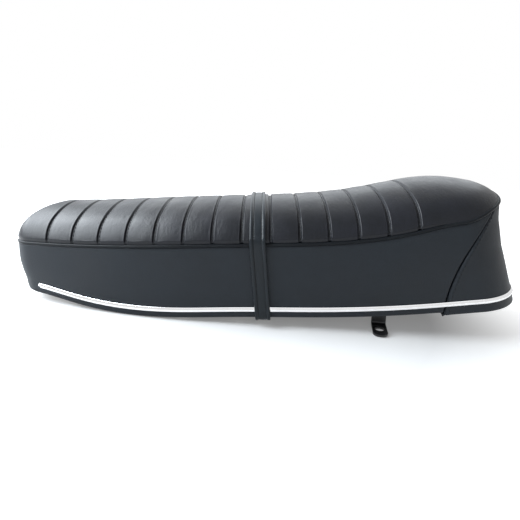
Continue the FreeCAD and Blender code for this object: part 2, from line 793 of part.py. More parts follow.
strap_line += [Vector(0, over_trim - 0.4, hem_foot + 6), Vector(0, over_trim - 1.2, hem_foot + 2),
               Vector(0, over_trim - 2.6, hem_foot), Vector(0, size("half_width_rim") - 3.0, tab_level)]
tab_end = size("half_width_rim") - size("strap_tab")
strap_line += [Vector(0, tab_end + 6, tab_level), Vector(0, tab_end, tab_level)]
strap_line = [Vector(0, -point.y, point.z) for point in strap_line[:0:-1]] + strap_line


def strap_normals(line):
    """Directions away from the seat along the strap."""
    normals = []
    for before, after in zip([line[0]] + line[:-1], line[1:] + [line[-1]]):
        along = after - before
        normals.append(Vector(0, -along.z, along.y).normalize())
    return normals


def strap_lean(z):
    below = min(max((strap_seam - z) / (strap_seam - hem_foot), 0.0), 1.0)
    return size("strap_lean") * below


STRAP_ACROSS = ((-1.0, 0.3), (-0.94, 0.8), (-0.75, 1.0), (-0.52, 0.6), (-0.4, 0.0), (0.0, 0.0),
                (0.4, 0.0), (0.52, 0.6), (0.75, 1.0), (0.94, 0.8), (1.0, 0.3))
strap_sections = []
for point, normal in zip(strap_line, strap_normals(strap_line)):
    middle = point + AXIS_X * (strap_x + strap_lean(point.z))
    flat = 0.0 if point.z < hem_foot + 1 else 1.0
    half = size("strap_width") / 2
    section = [middle + AXIS_X * half, middle - AXIS_X * half]
    for across, roll in STRAP_ACROSS:
        height = size("strap_thick") + flat * roll * size("strap_roll")
        section.append(middle + normal * height + AXIS_X * across * half)
    strap_sections.append(section)
strap_blank = feature("strap_blank", section_loft(strap_sections))
strap_bores = upright("strap_bores", size("screw_radius") + gap, screw_points, 0.0, hem_foot + 4)
keep(cut("grab_strap", strap_blank, strap_bores), "grab_strap")


def dome(radius, rise, place):
    """A raised head that hangs below a point."""
    return Part.makeCone(radius * 0.6, radius, rise, place - AXIS_Z * rise, AXIS_Z)


# Screws and washers of the strap, and all the nuts
washer_top = tab_level - size("strap_thick") - gap
head_top = washer_top - size("washer_thick")
flange_face = hem_foot + lip_top + size("pan_sheet") + gap / 2
screws = []
washers = []
for x, y in screw_points:
    shank = Part.makeCylinder(size("screw_radius"), flange_face + size("nut_thick") - head_top,
                              Vector(x, y, head_top), AXIS_Z)
    screws.append(shank.fuse(dome(size("screw_head"), size("screw_rise"), Vector(x, y, head_top))))
    ring = Part.makeCylinder(size("washer_radius"), size("washer_thick"), Vector(x, y, head_top), AXIS_Z)
    bore = Part.makeCylinder(size("screw_radius") + gap, size("washer_thick"), Vector(x, y, head_top), AXIS_Z)
    washers.append(ring.cut(bore))
    nuts.append(hexagon(size("nut_flats"), Vector(x, y, flange_face), AXIS_Z, size("nut_thick"),
                        size("screw_radius")))
keep(feature("strap_screws", Part.makeCompound(screws)), "strap_screws")
keep(feature("strap_washers", Part.makeCompound(washers)), "strap_washers")
keep(feature("hex_nuts", Part.makeCompound(nuts)), "hex_nuts")


def origin_plane(body, role):
    return next(plane for plane in body.Origin.OriginFeatures if plane.Role == role)


def value_of(rule):
    return float(sheet.evalExpression(rule))


def polyline_sketch(body, name, plane, points):
    """A closed outline of upright and level lines, in turn, on one of the body's planes."""
    sketch = body.newObject("Sketcher::SketchObject", name)
    sketch.AttachmentSupport = [(origin_plane(body, plane), "")]
    sketch.MapMode = "FlatFace"
    count = len(points)
    for index in range(count):
        sketch.addGeometry(Part.LineSegment(points[index], points[(index + 1) % count]), False)
    for index in range(count):
        sketch.addConstraint(Sketcher.Constraint("Coincident", index, 2, (index + 1) % count, 1))
        sketch.addConstraint(Sketcher.Constraint(("Vertical", "Horizontal")[index % 2], index))
    return sketch


def measure(sketch, kind, where, rule, label):
    """A driving dimension of a sketch, bound to the sheet."""
    number = sketch.addConstraint(Sketcher.Constraint(kind, *where, value_of(rule)))
    sketch.renameConstraint(number, label)
    sketch.setExpression("Constraints." + label, rule)


def edges_at(shape, y, z, along):
    """Names of the edges along an axis that pass through Y and Z, each left out with None."""
    names = []
    for number, edge in enumerate(shape.Edges, start=1):
        first, last = edge.Vertexes[0].Point, edge.Vertexes[-1].Point
        run = (last - first).cross(along).Length < 0.01 and first.distanceToPoint(last) > 0.01
        at_y = y is None or abs(first.y - y) < 0.01
        at_z = z is None or abs(first.z - z) < 0.01
        if run and at_y and at_z:
            names.append("Edge%d" % number)
    return names


def rounding(body, name, base, edges, rule):
    made = body.newObject("PartDesign::Fillet", name)
    made.Base = (base, edges)
    made.setExpression("Radius", rule)
    doc.recompute()
    return made


def bent_bar(label, prefix, tip_radius, foot_bore):
    """A flat bar bent twice: a root flange under the pan, a leg down, and a foot turned outward."""
    names = {name: "sizes.%s_%s" % (prefix, name)
             for name in ("flange", "leg", "tip", "sheet", "width", "drop")}
    names["root"] = "%(leg)s - %(flange)s" % names
    names["foot"] = "sizes.pan_level - %(drop)s" % names
    root, leg, tip, thick, low = [value_of(names[name]) for name in ("root", "leg", "tip", "sheet", "foot")]
    top = size("pan_level")
    body = doc.addObject("PartDesign::Body", label)
    points = [Vector(root, top, 0), Vector(root, top - thick, 0), Vector(leg, top - thick, 0),
              Vector(leg, low, 0), Vector(tip, low, 0), Vector(tip, low + thick, 0),
              Vector(leg + thick, low + thick, 0), Vector(leg + thick, top, 0)]
    sketch = polyline_sketch(body, label + "_bend", "YZ_Plane", points)
    measure(sketch, "DistanceX", (-1, 1, 0, 1), names["root"], "root")
    measure(sketch, "DistanceY", (-1, 1, 0, 1), "sizes.pan_level", "top")
    measure(sketch, "DistanceY", (0, 2, 0, 1), names["sheet"], "root_thick")
    measure(sketch, "DistanceX", (-1, 1, 2, 1), names["leg"], "leg")
    measure(sketch, "DistanceX", (-1, 1, 4, 1), names["tip"], "tip")
    measure(sketch, "DistanceY", (4, 1, 4, 2), names["sheet"], "foot_thick")
    measure(sketch, "DistanceX", (2, 1, 6, 1), names["sheet"], "leg_thick")
    measure(sketch, "DistanceY", (-1, 1, 3, 1), names["foot"], "foot")
    pad = body.newObject("PartDesign::Pad", label + "_bar")
    pad.Profile = sketch
    pad.setExpression("Length", names["width"])
    pad.Midplane = True
    doc.recompute()
    inner = edges_at(pad.Shape, leg, top - thick, AXIS_X)
    inner = inner + edges_at(pad.Shape, leg + thick, low + thick, AXIS_X)
    bend = rounding(body, label + "_inner_bend", pad, inner, "sizes.bend_radius")
    outer = edges_at(bend.Shape, leg + thick, top, AXIS_X)
    outer = outer + edges_at(bend.Shape, leg, low, AXIS_X)
    bend = rounding(body, label + "_outer_bend", bend, outer, "sizes.bend_radius + " + names["sheet"])
    bar = rounding(body, label + "_tip", bend, edges_at(bend.Shape, tip, None, AXIS_Z), tip_radius)
    holes = body.newObject("Sketcher::SketchObject", label + "_holes")
    holes.AttachmentSupport = [(origin_plane(body, "XY_Plane"), "")]
    holes.MapMode = "FlatFace"
    row = "%(leg)s - %(flange)s / 2" % names
    bores = [(row + " - sizes.rivet_spread / 2", "sizes.rivet_radius + sizes.clearance"),
             (row + " + sizes.rivet_spread / 2", "sizes.rivet_radius + sizes.clearance")]
    for index, (place, radius) in enumerate(bores + foot_bore):
        holes.addGeometry(Part.Circle(Vector(0, value_of(place), 0), AXIS_Z, value_of(radius)), False)
        measure(holes, "Radius", (index,), radius, "bore_%d" % index)
        measure(holes, "DistanceY", (-1, 1, index, 3), place, "place_%d" % index)
        holes.addConstraint(Sketcher.Constraint("PointOnObject", index, 3, -2))
    pocket = body.newObject("PartDesign::Pocket", label + "_bores")
    pocket.Profile = holes
    pocket.Type = "ThroughAll"
    pocket.Midplane = True
    body.Tip = pocket
    doc.recompute()
    return keep(body, label)


# Mounting brackets, and the tongue at the front that slips under the frame
for label, side in (("bracket_left", -1), ("bracket_right", 1)):
    body = bent_bar(label, "bracket", "sizes.bracket_width * 0.45",
                    [("sizes.bracket_hole_y", "sizes.bracket_hole / 2")])
    body.Placement = bracket_place(side)
body = bent_bar("front_hook", "hook", "sizes.hook_width * 0.3", [])
body.Placement = FreeCAD.Placement(Vector(0, 0, 0), FreeCAD.Rotation(AXIS_Z, 90))


def rivets(points, sheet_thick):
    """Rivets through a bar and the pan's plate, with domed heads below."""
    made = []
    for x, y in points:
        place = Vector(x, y, size("pan_level") - sheet_thick)
        shank = Part.makeCylinder(size("rivet_radius"), pan_top - place.z, place, AXIS_Z)
        made.append(shank.fuse(dome(size("rivet_head"), size("rivet_rise"), place)))
    return made


pan_rivets = rivets(bracket_points, size("bracket_sheet")) + rivets(hook_points, size("hook_sheet"))
keep(feature("pan_rivets", Part.makeCompound(pan_rivets)), "pan_rivets")

# Rubber buffers pressed into the pan
buffers = []
for x, y in buffer_points:
    place = Vector(x, y, size("pan_level"))
    height = size("buffer_height")
    foot = place - AXIS_Z * height
    block_rubber = Part.makeCone(size("buffer_foot"), size("buffer_radius"), height, foot, AXIS_Z)
    stem = Part.makeCylinder(size("buffer_stem"), size("pan_sheet"), place, AXIS_Z)
    buffers.append(block_rubber.fuse(stem))
keep(feature("buffers", Part.makeCompound(buffers)), "buffers")

# Spring clips that hold the folded cover on the pan's rim
clips = []
for step in range(CLIPS_PER_SIDE):
    x = size("clip_first") + step * size("clip_pitch")
    sheet_metal = size("clip_sheet")
    low = hem_at(x) - gap - sheet_metal
    high = hem_at(x) + lip_top + size("pan_sheet") + gap
    back = size("half_width_hem") - size("lip_width") - gap - sheet_metal
    start = x - size("clip_length") / 2
    web = Part.makeBox(size("clip_length"), sheet_metal, high + sheet_metal - low, Vector(start, back, low))
    grip = size("clip_grip")
    lower = Part.makeBox(size("clip_length"), grip, sheet_metal, Vector(start, back, low))
    upper = Part.makeBox(size("clip_length"), grip, sheet_metal, Vector(start, back, high))
    clips += mirrored_pair(web.fuse([lower, upper]).removeSplitter())
keep(feature("cover_clips", Part.makeCompound(clips)), "cover_clips")

# The origin lies under the middle of the seat's length
for item in parts:
    item.Placement.Base = item.Placement.Base - AXIS_X * size("seat_middle")
doc.recompute()
for item in doc.Objects:
    if "Invalid" in item.State or "Error" in item.State:
        raise RuntimeError("%s did not build: %s" % (item.Name, item.State))
os.makedirs("parts", exist_ok=True)
for item in parts:
    if item.Shape.isNull() or not item.Shape.isValid():
        raise RuntimeError("%s has no sound shape" % item.Label)
    item.Shape.exportStep("parts/%s.step" % item.Label)
    print(item.Label, len(item.Shape.Solids), round(item.Shape.Volume))
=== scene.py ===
import math

import bmesh
import bpy
import numpy as np
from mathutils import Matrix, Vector


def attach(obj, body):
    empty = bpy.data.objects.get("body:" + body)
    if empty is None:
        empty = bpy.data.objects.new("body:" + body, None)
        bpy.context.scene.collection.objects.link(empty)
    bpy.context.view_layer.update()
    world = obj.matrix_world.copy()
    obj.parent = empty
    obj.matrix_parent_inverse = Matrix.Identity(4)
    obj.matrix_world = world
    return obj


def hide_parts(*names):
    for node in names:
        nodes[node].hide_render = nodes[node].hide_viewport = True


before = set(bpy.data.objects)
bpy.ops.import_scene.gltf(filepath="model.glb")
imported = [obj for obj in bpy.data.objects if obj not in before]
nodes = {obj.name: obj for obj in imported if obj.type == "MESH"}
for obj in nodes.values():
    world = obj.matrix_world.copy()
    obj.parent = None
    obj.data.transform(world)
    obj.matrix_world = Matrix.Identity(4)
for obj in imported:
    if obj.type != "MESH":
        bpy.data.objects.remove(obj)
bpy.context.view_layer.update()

# Shapes are worked out in millimetres, with X from the nose to the rear and Z up from the feet.
MM = 0.001
SEAT_MIDDLE = 8.8

# Stations of the long profiles along X, as in the solids
RIDGE = {-370: 168, -230: 170, -90: 175, 30: 178.5, 130: 187, 200: 200, 255: 205.5, 321: 196.5, 400: 182}
CROWN = {-370: 46, -200: 48, -60: 50, 130: 54, 190: 55, 240: 50, 400: 50}
HEM = {-370: 53.5, -310: 49, -255: 37.5, -165: 26, -40: 26, 80: 26, 220: 32.5, 300: 40, 400: 46}
# Plan outline over height
LEVELS = (15, 60, 120, 155, 235)
HALF_WIDTH = (110, 112, 112.5, 112.5, 112)
NOSE_X = (-337, -345, -347, -346, -344)
REAR_X = (377, 360, 335, 325.5, 317)
END_RADIUS = 260.0
REAR_CORNER = 75.0
NOSE_CORNER = 35.0
TAPER_RADIUS = 911.0
TAPER_START = -90.0
SEAM_WIDTH = 112.5
# Top panel
CROWN_ROUND = 0.7
CROWN_SHOULDER = 12.0
NOSE_POWER = 5.0
EDGE_LIFT = 7.5
GROOVE_COUNT = 14
GROOVE_FIRST = -288.0
GROOVE_PITCH = 37.1
GROOVE_HALF = 2.5
GROOVE_BANK = 2.0
GROOVE_DEPTH = 2.2
GROOVE_SIDE = 1.1
GROOVE_LAST = GROOVE_FIRST + (GROOVE_COUNT - 1) * GROOVE_PITCH
NOSE_START = GROOVE_FIRST - GROOVE_HALF - GROOVE_BANK
TAIL_START = GROOVE_LAST + GROOVE_HALF + GROOVE_BANK
# Walls, piping, trim
PIPING_RADIUS = 2.2
LIP_WIDTH = 14.0
COVER_THICK = 2.5
REAR_HEM_DROP = 4.5
SEAM_TOP_X = 312.7
SEAM_FOOT_X = 240.5
SEAM_BOW = 2.0
TRIM_RISE = 12.6
TRIM_FRONT = -312.0
# Strap
STRAP_X = -8.0
STRAP_LEAN = 7.0
STRAP_HALF = 10.25
STRAP_THICK = 2.2
STRAP_ROLL = 1.1
STRAP_TAB = 17.0
CLEARANCE = 0.3


def smooth_profile(stations):
    """A natural cubic spline through stations of X, as a function of arrays."""
    xs = np.array(list(stations), float)
    ys = np.array(list(stations.values()), float)
    steps = np.diff(xs)
    count = len(xs)
    matrix = np.eye(count)
    right = np.zeros(count)
    for i in range(1, count - 1):
        matrix[i, i - 1:i + 2] = steps[i - 1], 2 * (steps[i - 1] + steps[i]), steps[i]
        right[i] = 6 * ((ys[i + 1] - ys[i]) / steps[i] - (ys[i] - ys[i - 1]) / steps[i - 1])
    bends = np.linalg.solve(matrix, right)

    def value(x):
        x = np.asarray(x, float)
        i = np.clip(np.searchsorted(xs, x) - 1, 0, count - 2)
        a, b, h = xs[i], xs[i + 1], steps[i]
        left, ahead = (b - x) / h, (x - a) / h
        bend = (left ** 3 - left) * bends[i] + (ahead ** 3 - ahead) * bends[i + 1]
        return left * ys[i] + ahead * ys[i + 1] + bend * h ** 2 / 6
    return value


ridge = smooth_profile(RIDGE)
crown = smooth_profile(CROWN)
hem = smooth_profile(HEM)


def crown_height(x, reach):
    """Height of the top panel; reach runs from 0 on the ridge to 1 at the edge."""
    fall = CROWN_ROUND * reach ** 2 + (1 - CROWN_ROUND) * reach ** CROWN_SHOULDER
    return ridge(x) - (crown(x) - EDGE_LIFT) * fall


def seam_height(x, y):
    """Height of the piping at a place of the wall."""
    reach = np.where(x > TAPER_START, np.minimum(np.abs(y) / SEAM_WIDTH, 1.0), 1.0)
    return crown_height(x, reach) - EDGE_LIFT


# Half outline of the seat, tabled over height and share of its length from the rear to the nose
TABLE_LEVELS = np.arange(16.0, 226.0, 2.0)
TABLE_SHARES = np.linspace(0.0, 1.0, 1201)
ARC_POINTS = 160


def half_outline(z):
    """Points of the right half of the plan at a height, from the rear's middle to the nose's."""
    width = np.interp(z, LEVELS, HALF_WIDTH)
    nose = np.interp(z, LEVELS, NOSE_X)
    rear = np.interp(z, LEVELS, REAR_X)
    end_x = rear - END_RADIUS
    corner_y = width - REAR_CORNER
    corner_x = end_x + math.sqrt((END_RADIUS - REAR_CORNER) ** 2 - corner_y ** 2)
    taper_y = width - TAPER_RADIUS
    nose_x = nose + NOSE_CORNER
    nose_y = taper_y + math.sqrt((TAPER_RADIUS - NOSE_CORNER) ** 2 - (nose_x - TAPER_START) ** 2)
    end_turn = math.atan2(corner_y, corner_x - end_x)
    nose_turn = math.atan2(nose_y - taper_y, nose_x - TAPER_START)

    def arc(cx, cy, radius, first, last):
        turn = np.linspace(first, last, ARC_POINTS)
        return np.column_stack([cx + radius * np.cos(turn), cy + radius * np.sin(turn)])

    return np.vstack([
        arc(end_x, 0.0, END_RADIUS, 0.0, end_turn),
        arc(corner_x, corner_y, REAR_CORNER, end_turn, math.pi / 2)[1:],
        arc(TAPER_START, taper_y, TAPER_RADIUS, math.pi / 2, nose_turn),
        arc(nose_x, nose_y, NOSE_CORNER, nose_turn, math.pi)[1:],
        [[nose, 0.0]],
    ])


def outline_table():
    """Half outlines at all tabled heights, each in equal shares of its length."""
    table = []
    for z in TABLE_LEVELS:
        points = half_outline(z)
        walked = np.concatenate([[0.0], np.cumsum(np.linalg.norm(np.diff(points, axis=0), axis=1))])
        shares = TABLE_SHARES * walked[-1]
        table.append(np.column_stack([np.interp(shares, walked, points[:, i]) for i in (0, 1)]))
    return np.array(table)


OUTLINES = outline_table()


def wall_xy(share, z):
    """Plan position on the wall at a share of the half outline and a height."""
    row = np.clip((z - TABLE_LEVELS[0]) / 2.0, 0, len(TABLE_LEVELS) - 1.001)
    col = np.clip(share, 0, 1) * (len(TABLE_SHARES) - 1)
    col = np.minimum(col, len(TABLE_SHARES) - 1.001)
    i, j = row.astype(int), col.astype(int)
    a, b = (row - i)[..., None], (col - j)[..., None]
    low = OUTLINES[i, j] * (1 - b) + OUTLINES[i, j + 1] * b
    high = OUTLINES[i + 1, j] * (1 - b) + OUTLINES[i + 1, j + 1] * b
    return low * (1 - a) + high * a


def wall_outward(share, z):
    """Level direction away from the wall."""
    step = 0.002
    before = wall_xy(np.clip(share - step, 0, 1), z)
    after = wall_xy(np.clip(share + step, 0, 1), z)
    along = after - before
    # The half outline meets its mirror image squarely in the middle planes.
    along[..., 0] = np.where((share < step) | (share > 1 - step), 0.0, along[..., 0])
    away = np.stack([along[..., 1], -along[..., 0]], axis=-1)
    return away / np.linalg.norm(away, axis=-1, keepdims=True)


def share_at(x, z):
    """Share of the half outline where X is x, at one height."""
    points = OUTLINES[int(np.clip((z - TABLE_LEVELS[0]) / 2.0, 0, len(TABLE_LEVELS) - 1))]
    return np.interp(-x, -points[:, 0], TABLE_SHARES)


def seam_line(z):
    """X of the sewn seam between the side band and the rear panel."""
    share = np.maximum((z - HEM[300]) / (RIDGE[321] - HEM[300]), 0.0)
    return SEAM_FOOT_X + share ** SEAM_BOW * (SEAM_TOP_X - SEAM_FOOT_X)


SEAM_SHARES = np.array([share_at(seam_line(z), z) for z in TABLE_LEVELS])


def to_frame(points):
    """Millimetres of the seat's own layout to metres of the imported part's frame."""
    return (np.asarray(points, float) - [SEAT_MIDDLE, 0.0, 0.0]) * MM


def smooth_noise(points, scale, seed):
    """Soft repeatable noise from a few sine waves, about -1 to 1."""
    rng = np.random.default_rng(seed)
    total = np.zeros(len(points))
    for wave in range(7):
        direction = rng.normal(size=3)
        direction = direction / np.linalg.norm(direction) * (0.6 + 0.9 * rng.random())
        total += np.sin(points @ direction * (2 * math.pi / scale) + rng.random() * 6.28)
    return total / 3.0


def outward(mesh):
    """Turn the faces of a closed mesh outward."""
    work = bmesh.new()
    work.from_mesh(mesh)
    bmesh.ops.recalc_face_normals(work, faces=work.faces)
    work.to_mesh(mesh)
    work.free()


def mesh_object(name, points, faces, material, closed=True):
    """A smooth-shaded piece of the seat that moves with it; points are in millimetres."""
    mesh = bpy.data.meshes.new(name)
    mesh.from_pydata(to_frame(points).tolist(), [], faces)
    mesh.validate()
    if closed:
        outward(mesh)
    mesh.polygons.foreach_set("use_smooth", [True] * len(mesh.polygons))
    made = bpy.data.objects.new(name, mesh)
    bpy.context.scene.collection.objects.link(made)
    made.data.materials.append(material)
    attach(made, "root")
    return made


def thickened(piece, thick):
    """Give a sheet of the cover its thickness, on the inside."""
    skin = piece.modifiers.new("skin", "SOLIDIFY")
    skin.thickness = thick * MM
    skin.offset = -1.0


def grid_faces(rows, columns, start=0, ring=False):
    """Quads of a grid of points; ring joins the last column to the first."""
    faces = []
    for r in range(rows - 1):
        for c in range(columns - (0 if ring else 1)):
            n = (c + 1) % columns
            faces.append((start + r * columns + c, start + (r + 1) * columns + c,
                          start + (r + 1) * columns + n, start + r * columns + n))
    return faces


# Materials
def material(name):
    """A new node material with its shader, and a function that adds a node."""
    made = bpy.data.materials.new(name)
    made.use_nodes = True
    tree = made.node_tree

    def add(kind, **inputs):
        node = tree.nodes.new(kind)
        for key, value in inputs.items():
            node.inputs[key.replace("_", " ")].default_value = value
        return node
    shader = tree.nodes["Principled BSDF"]
    return made, tree.links, shader, add


def tinted(links, add, factor, dark, light):
    """A colour between two tones, driven by a factor."""
    mix = add("ShaderNodeMix")
    mix.data_type = "RGBA"
    mix.inputs["A"].default_value = (*dark, 1)
    mix.inputs["B"].default_value = (*light, 1)
    links.new(factor, mix.inputs["Factor"])
    return mix.outputs["Result"]


def spread(links, add, source, low, high):
    """A texture's value mapped between two limits."""
    ranged = add("ShaderNodeMapRange", To_Min=low, To_Max=high, From_Min=0.3, From_Max=0.7)
    links.new(source, ranged.inputs["Value"])
    return ranged.outputs["Result"]


def vinyl(name, dark, light, gloss, shine, grain, wrinkle):
    """Grained upholstery vinyl with cloudy tone, uneven gloss and fine creases."""
    made, links, shader, add = material(name)
    place = add("ShaderNodeTexCoord")
    cloud = add("ShaderNodeTexNoise", Scale=22.0, Detail=5.0, Roughness=0.6)
    cells = add("ShaderNodeTexVoronoi", Scale=820.0)
    cells.feature = "SMOOTH_F1"
    pores = add("ShaderNodeTexNoise", Scale=2300.0, Detail=2.0)
    creases = add("ShaderNodeTexNoise", Scale=240.0, Detail=6.0, Roughness=0.6)
    stretch = add("ShaderNodeMapping")
    stretch.inputs["Scale"].default_value = (1.0, 0.35, 0.35)
    links.new(place.outputs["Object"], stretch.inputs["Vector"])
    links.new(stretch.outputs["Vector"], creases.inputs["Vector"])
    for texture in (cloud, cells, pores):
        links.new(place.outputs["Object"], texture.inputs["Vector"])
    links.new(tinted(links, add, spread(links, add, cloud.outputs["Fac"], 0.0, 1.0), dark, light),
              shader.inputs["Base Color"])
    uneven = spread(links, add, cloud.outputs["Fac"], gloss - 0.05, gloss + 0.07)
    links.new(uneven, shader.inputs["Roughness"])
    height = None
    for source, strength, distance in ((creases.outputs["Fac"], wrinkle, 0.0005),
                                       (cells.outputs["Distance"], grain, 0.0003),
                                       (pores.outputs["Fac"], grain * 0.5, 0.0001)):
        bump = add("ShaderNodeBump", Strength=strength, Distance=distance)
        links.new(source, bump.inputs["Height"])
        if height:
            links.new(height.outputs["Normal"], bump.inputs["Normal"])
        height = bump
    links.new(height.outputs["Normal"], shader.inputs["Normal"])
    shader.inputs["Specular IOR Level"].default_value = shine
    return made


def metal(name, dark, light, gloss, metallic, streak):
    """Metal or paint with cloudy tone, drawn streaks and small dents."""
    made, links, shader, add = material(name)
    place = add("ShaderNodeTexCoord")
    drawn = add("ShaderNodeMapping")
    drawn.inputs["Scale"].default_value = (0.06, 1.0, 1.0)
    streaks = add("ShaderNodeTexNoise", Scale=700.0, Detail=3.0)
    cloud = add("ShaderNodeTexNoise", Scale=45.0, Detail=4.0)
    links.new(place.outputs["Object"], drawn.inputs["Vector"])
    links.new(drawn.outputs["Vector"], streaks.inputs["Vector"])
    links.new(place.outputs["Object"], cloud.inputs["Vector"])
    links.new(tinted(links, add, spread(links, add, cloud.outputs["Fac"], 0.0, 1.0), dark, light),
              shader.inputs["Base Color"])
    uneven = spread(links, add, streaks.outputs["Fac"], gloss * 0.8, gloss * 1.3)
    links.new(uneven, shader.inputs["Roughness"])
    bump = add("ShaderNodeBump", Strength=streak, Distance=0.0001)
    links.new(streaks.outputs["Fac"], bump.inputs["Height"])
    links.new(bump.outputs["Normal"], shader.inputs["Normal"])
    shader.inputs["Metallic"].default_value = metallic
    return made


def porous(name, dark, light, cell, depth):
    """Open foam or moulded rubber: soft cells in two tones."""
    made, links, shader, add = material(name)
    place = add("ShaderNodeTexCoord")
    cells = add("ShaderNodeTexVoronoi", Scale=cell)
    cloud = add("ShaderNodeTexNoise", Scale=cell / 12, Detail=4.0)
    for texture in (cells, cloud):
        links.new(place.outputs["Object"], texture.inputs["Vector"])
    links.new(tinted(links, add, spread(links, add, cloud.outputs["Fac"], 0.0, 1.0), dark, light),
              shader.inputs["Base Color"])
    bump = add("ShaderNodeBump", Strength=depth, Distance=0.0004)
    links.new(cells.outputs["Distance"], bump.inputs["Height"])
    links.new(bump.outputs["Normal"], shader.inputs["Normal"])
    shader.inputs["Roughness"].default_value = 0.85
    return made


TOP_VINYL = vinyl("top_vinyl", (0.003, 0.004, 0.006), (0.006, 0.007, 0.011), 0.37, 0.25, 0.34, 0.75)
SIDE_VINYL = vinyl("side_vinyl", (0.006, 0.009, 0.013), (0.010, 0.014, 0.019), 0.52, 0.26, 0.28, 0.10)
STRAP_VINYL = vinyl("strap_vinyl", (0.006, 0.009, 0.012), (0.009, 0.013, 0.017), 0.36, 0.22, 0.25, 0.22)
PIPING_VINYL = vinyl("piping_vinyl", (0.003, 0.004, 0.006), (0.006, 0.008, 0.010), 0.44, 0.14, 0.15, 0.05)
THREAD = vinyl("thread", (0.007, 0.008, 0.009), (0.014, 0.015, 0.017), 0.60, 0.2, 0.60, 0.10)
CHROME = metal("chrome", (0.86, 0.86, 0.87), (0.93, 0.93, 0.94), 0.07, 1.0, 0.02)
ZINC = metal("zinc", (0.42, 0.42, 0.41), (0.58, 0.57, 0.54), 0.34, 1.0, 0.15)
BLACK_STEEL = metal("black_steel", (0.006, 0.006, 0.007), (0.014, 0.014, 0.015), 0.36, 0.0, 0.2)
PAN_PAINT = metal("pan_paint", (0.008, 0.008, 0.009), (0.020, 0.019, 0.018), 0.48, 0.0, 0.25)
FOAM = porous("foam", (0.55, 0.43, 0.20), (0.72, 0.58, 0.32), 900.0, 0.8)
RUBBER = porous("rubber", (0.010, 0.010, 0.010), (0.022, 0.022, 0.021), 500.0, 0.2)

NODE_MATERIALS = {
    "hex_nuts": ZINC, "strap_screws": ZINC, "strap_washers": ZINC, "pan_rivets": ZINC,
    "bracket_left": BLACK_STEEL, "bracket_right": BLACK_STEEL,
    "front_hook": BLACK_STEEL, "cover_clips": ZINC,
    "seat_pan": PAN_PAINT, "foam_core": FOAM, "buffers": RUBBER,
}
for node, look in NODE_MATERIALS.items():
    nodes[node].data.materials.clear()
    nodes[node].data.materials.append(look)


# Top panel: one sheet with pleats between sewn channels
NOSE_TIP_GAP = 1.2
TAIL_TIP_GAP = 0.6
TAIL_TIP_LEVEL = 195
ACROSS_STEPS = 36
NOSE_ROWS = 22
TAIL_ROWS = 44
TUCK_ROWS = 5
TUCK_INSET = 1.6
TUCK_BELOW = 1.0
NOSE_FULLNESS = 1.35
TAIL_LEVEL = 190.0
TAIL_ROUND = 26.0
TAIL_DROP = 8.5
TAIL_ONSET = 45.0
HELD_HALF = 4.5
CLOTH_PRESSURE = 4.0
SWELL_CAP = 0.6
SLACK = 0.09
COVER_SKIN = 1.6
CHANNEL_OFFSETS = (0.0, 0.7, 1.2, 1.5, 1.8, 2.1, 2.5, 2.9, 3.4, 4.0, 4.8, 6.0)
PLEAT_OFFSETS = (8.0, 10.5, 13.2, 15.9, 18.55, 21.2, 23.9, 26.6, 29.1)
# Section of a sewn channel from its middle outward: distance and share of the depth
CHANNEL_SECTION = ((0.0, 1.25), (1.2, 1.22), (1.5, 1.1), (2.1, 0.55), (2.5, 0.26), (2.9, 0.15), (3.4, 0.15),
                   (4.0, 0.17), (4.8, 0.16), (6.0, 0.13), (10.5, 0.05), (14.0, 0.01), (18.55, 0.0))


def sunk(x):
    """Depth of the sewn channel at X: over 1 in its floor, 0 on the crest of a pleat."""
    nearest = np.clip(np.round((x - GROOVE_FIRST) / GROOVE_PITCH), 0, GROOVE_COUNT - 1)
    off = np.abs(x - GROOVE_FIRST - nearest * GROOVE_PITCH)
    distances, depths = zip(*CHANNEL_SECTION)
    return np.interp(off, distances, depths)


def edge_half_width(x):
    """Half width of the top panel at X, on the outline at the height of its edge."""
    z = np.full_like(x, 130.0)
    for step in range(6):
        half = np.array([np.interp(-a, -OUTLINES[int((b - TABLE_LEVELS[0]) / 2)][:, 0],
                                   OUTLINES[int((b - TABLE_LEVELS[0]) / 2)][:, 1]) for a, b in zip(x, z)])
        z = np.clip(seam_height(x, half) + EDGE_LIFT, 20.0, 220.0)
    return half


def tail_fall(x, y):
    """How far the panel rounds down toward its edge, behind the last channel."""
    edge = OUTLINES[int((TAIL_LEVEL - TABLE_LEVELS[0]) / 2)]
    fall = np.zeros_like(x)
    for row in np.flatnonzero(x[:, 0] > TAIL_START):
        place = np.column_stack([x[row], np.abs(y[row])])
        away = np.linalg.norm(place[:, None] - edge[None, ::3], axis=-1).min(axis=1)
        rounded = np.clip(1 - away / TAIL_ROUND, 0, 1)
        onset = np.clip((x[row] - TAIL_START) / TAIL_ONSET, 0, 1)
        fall[row] = TAIL_DROP * (1 - np.sqrt(1 - rounded ** 2)) * onset
    return fall


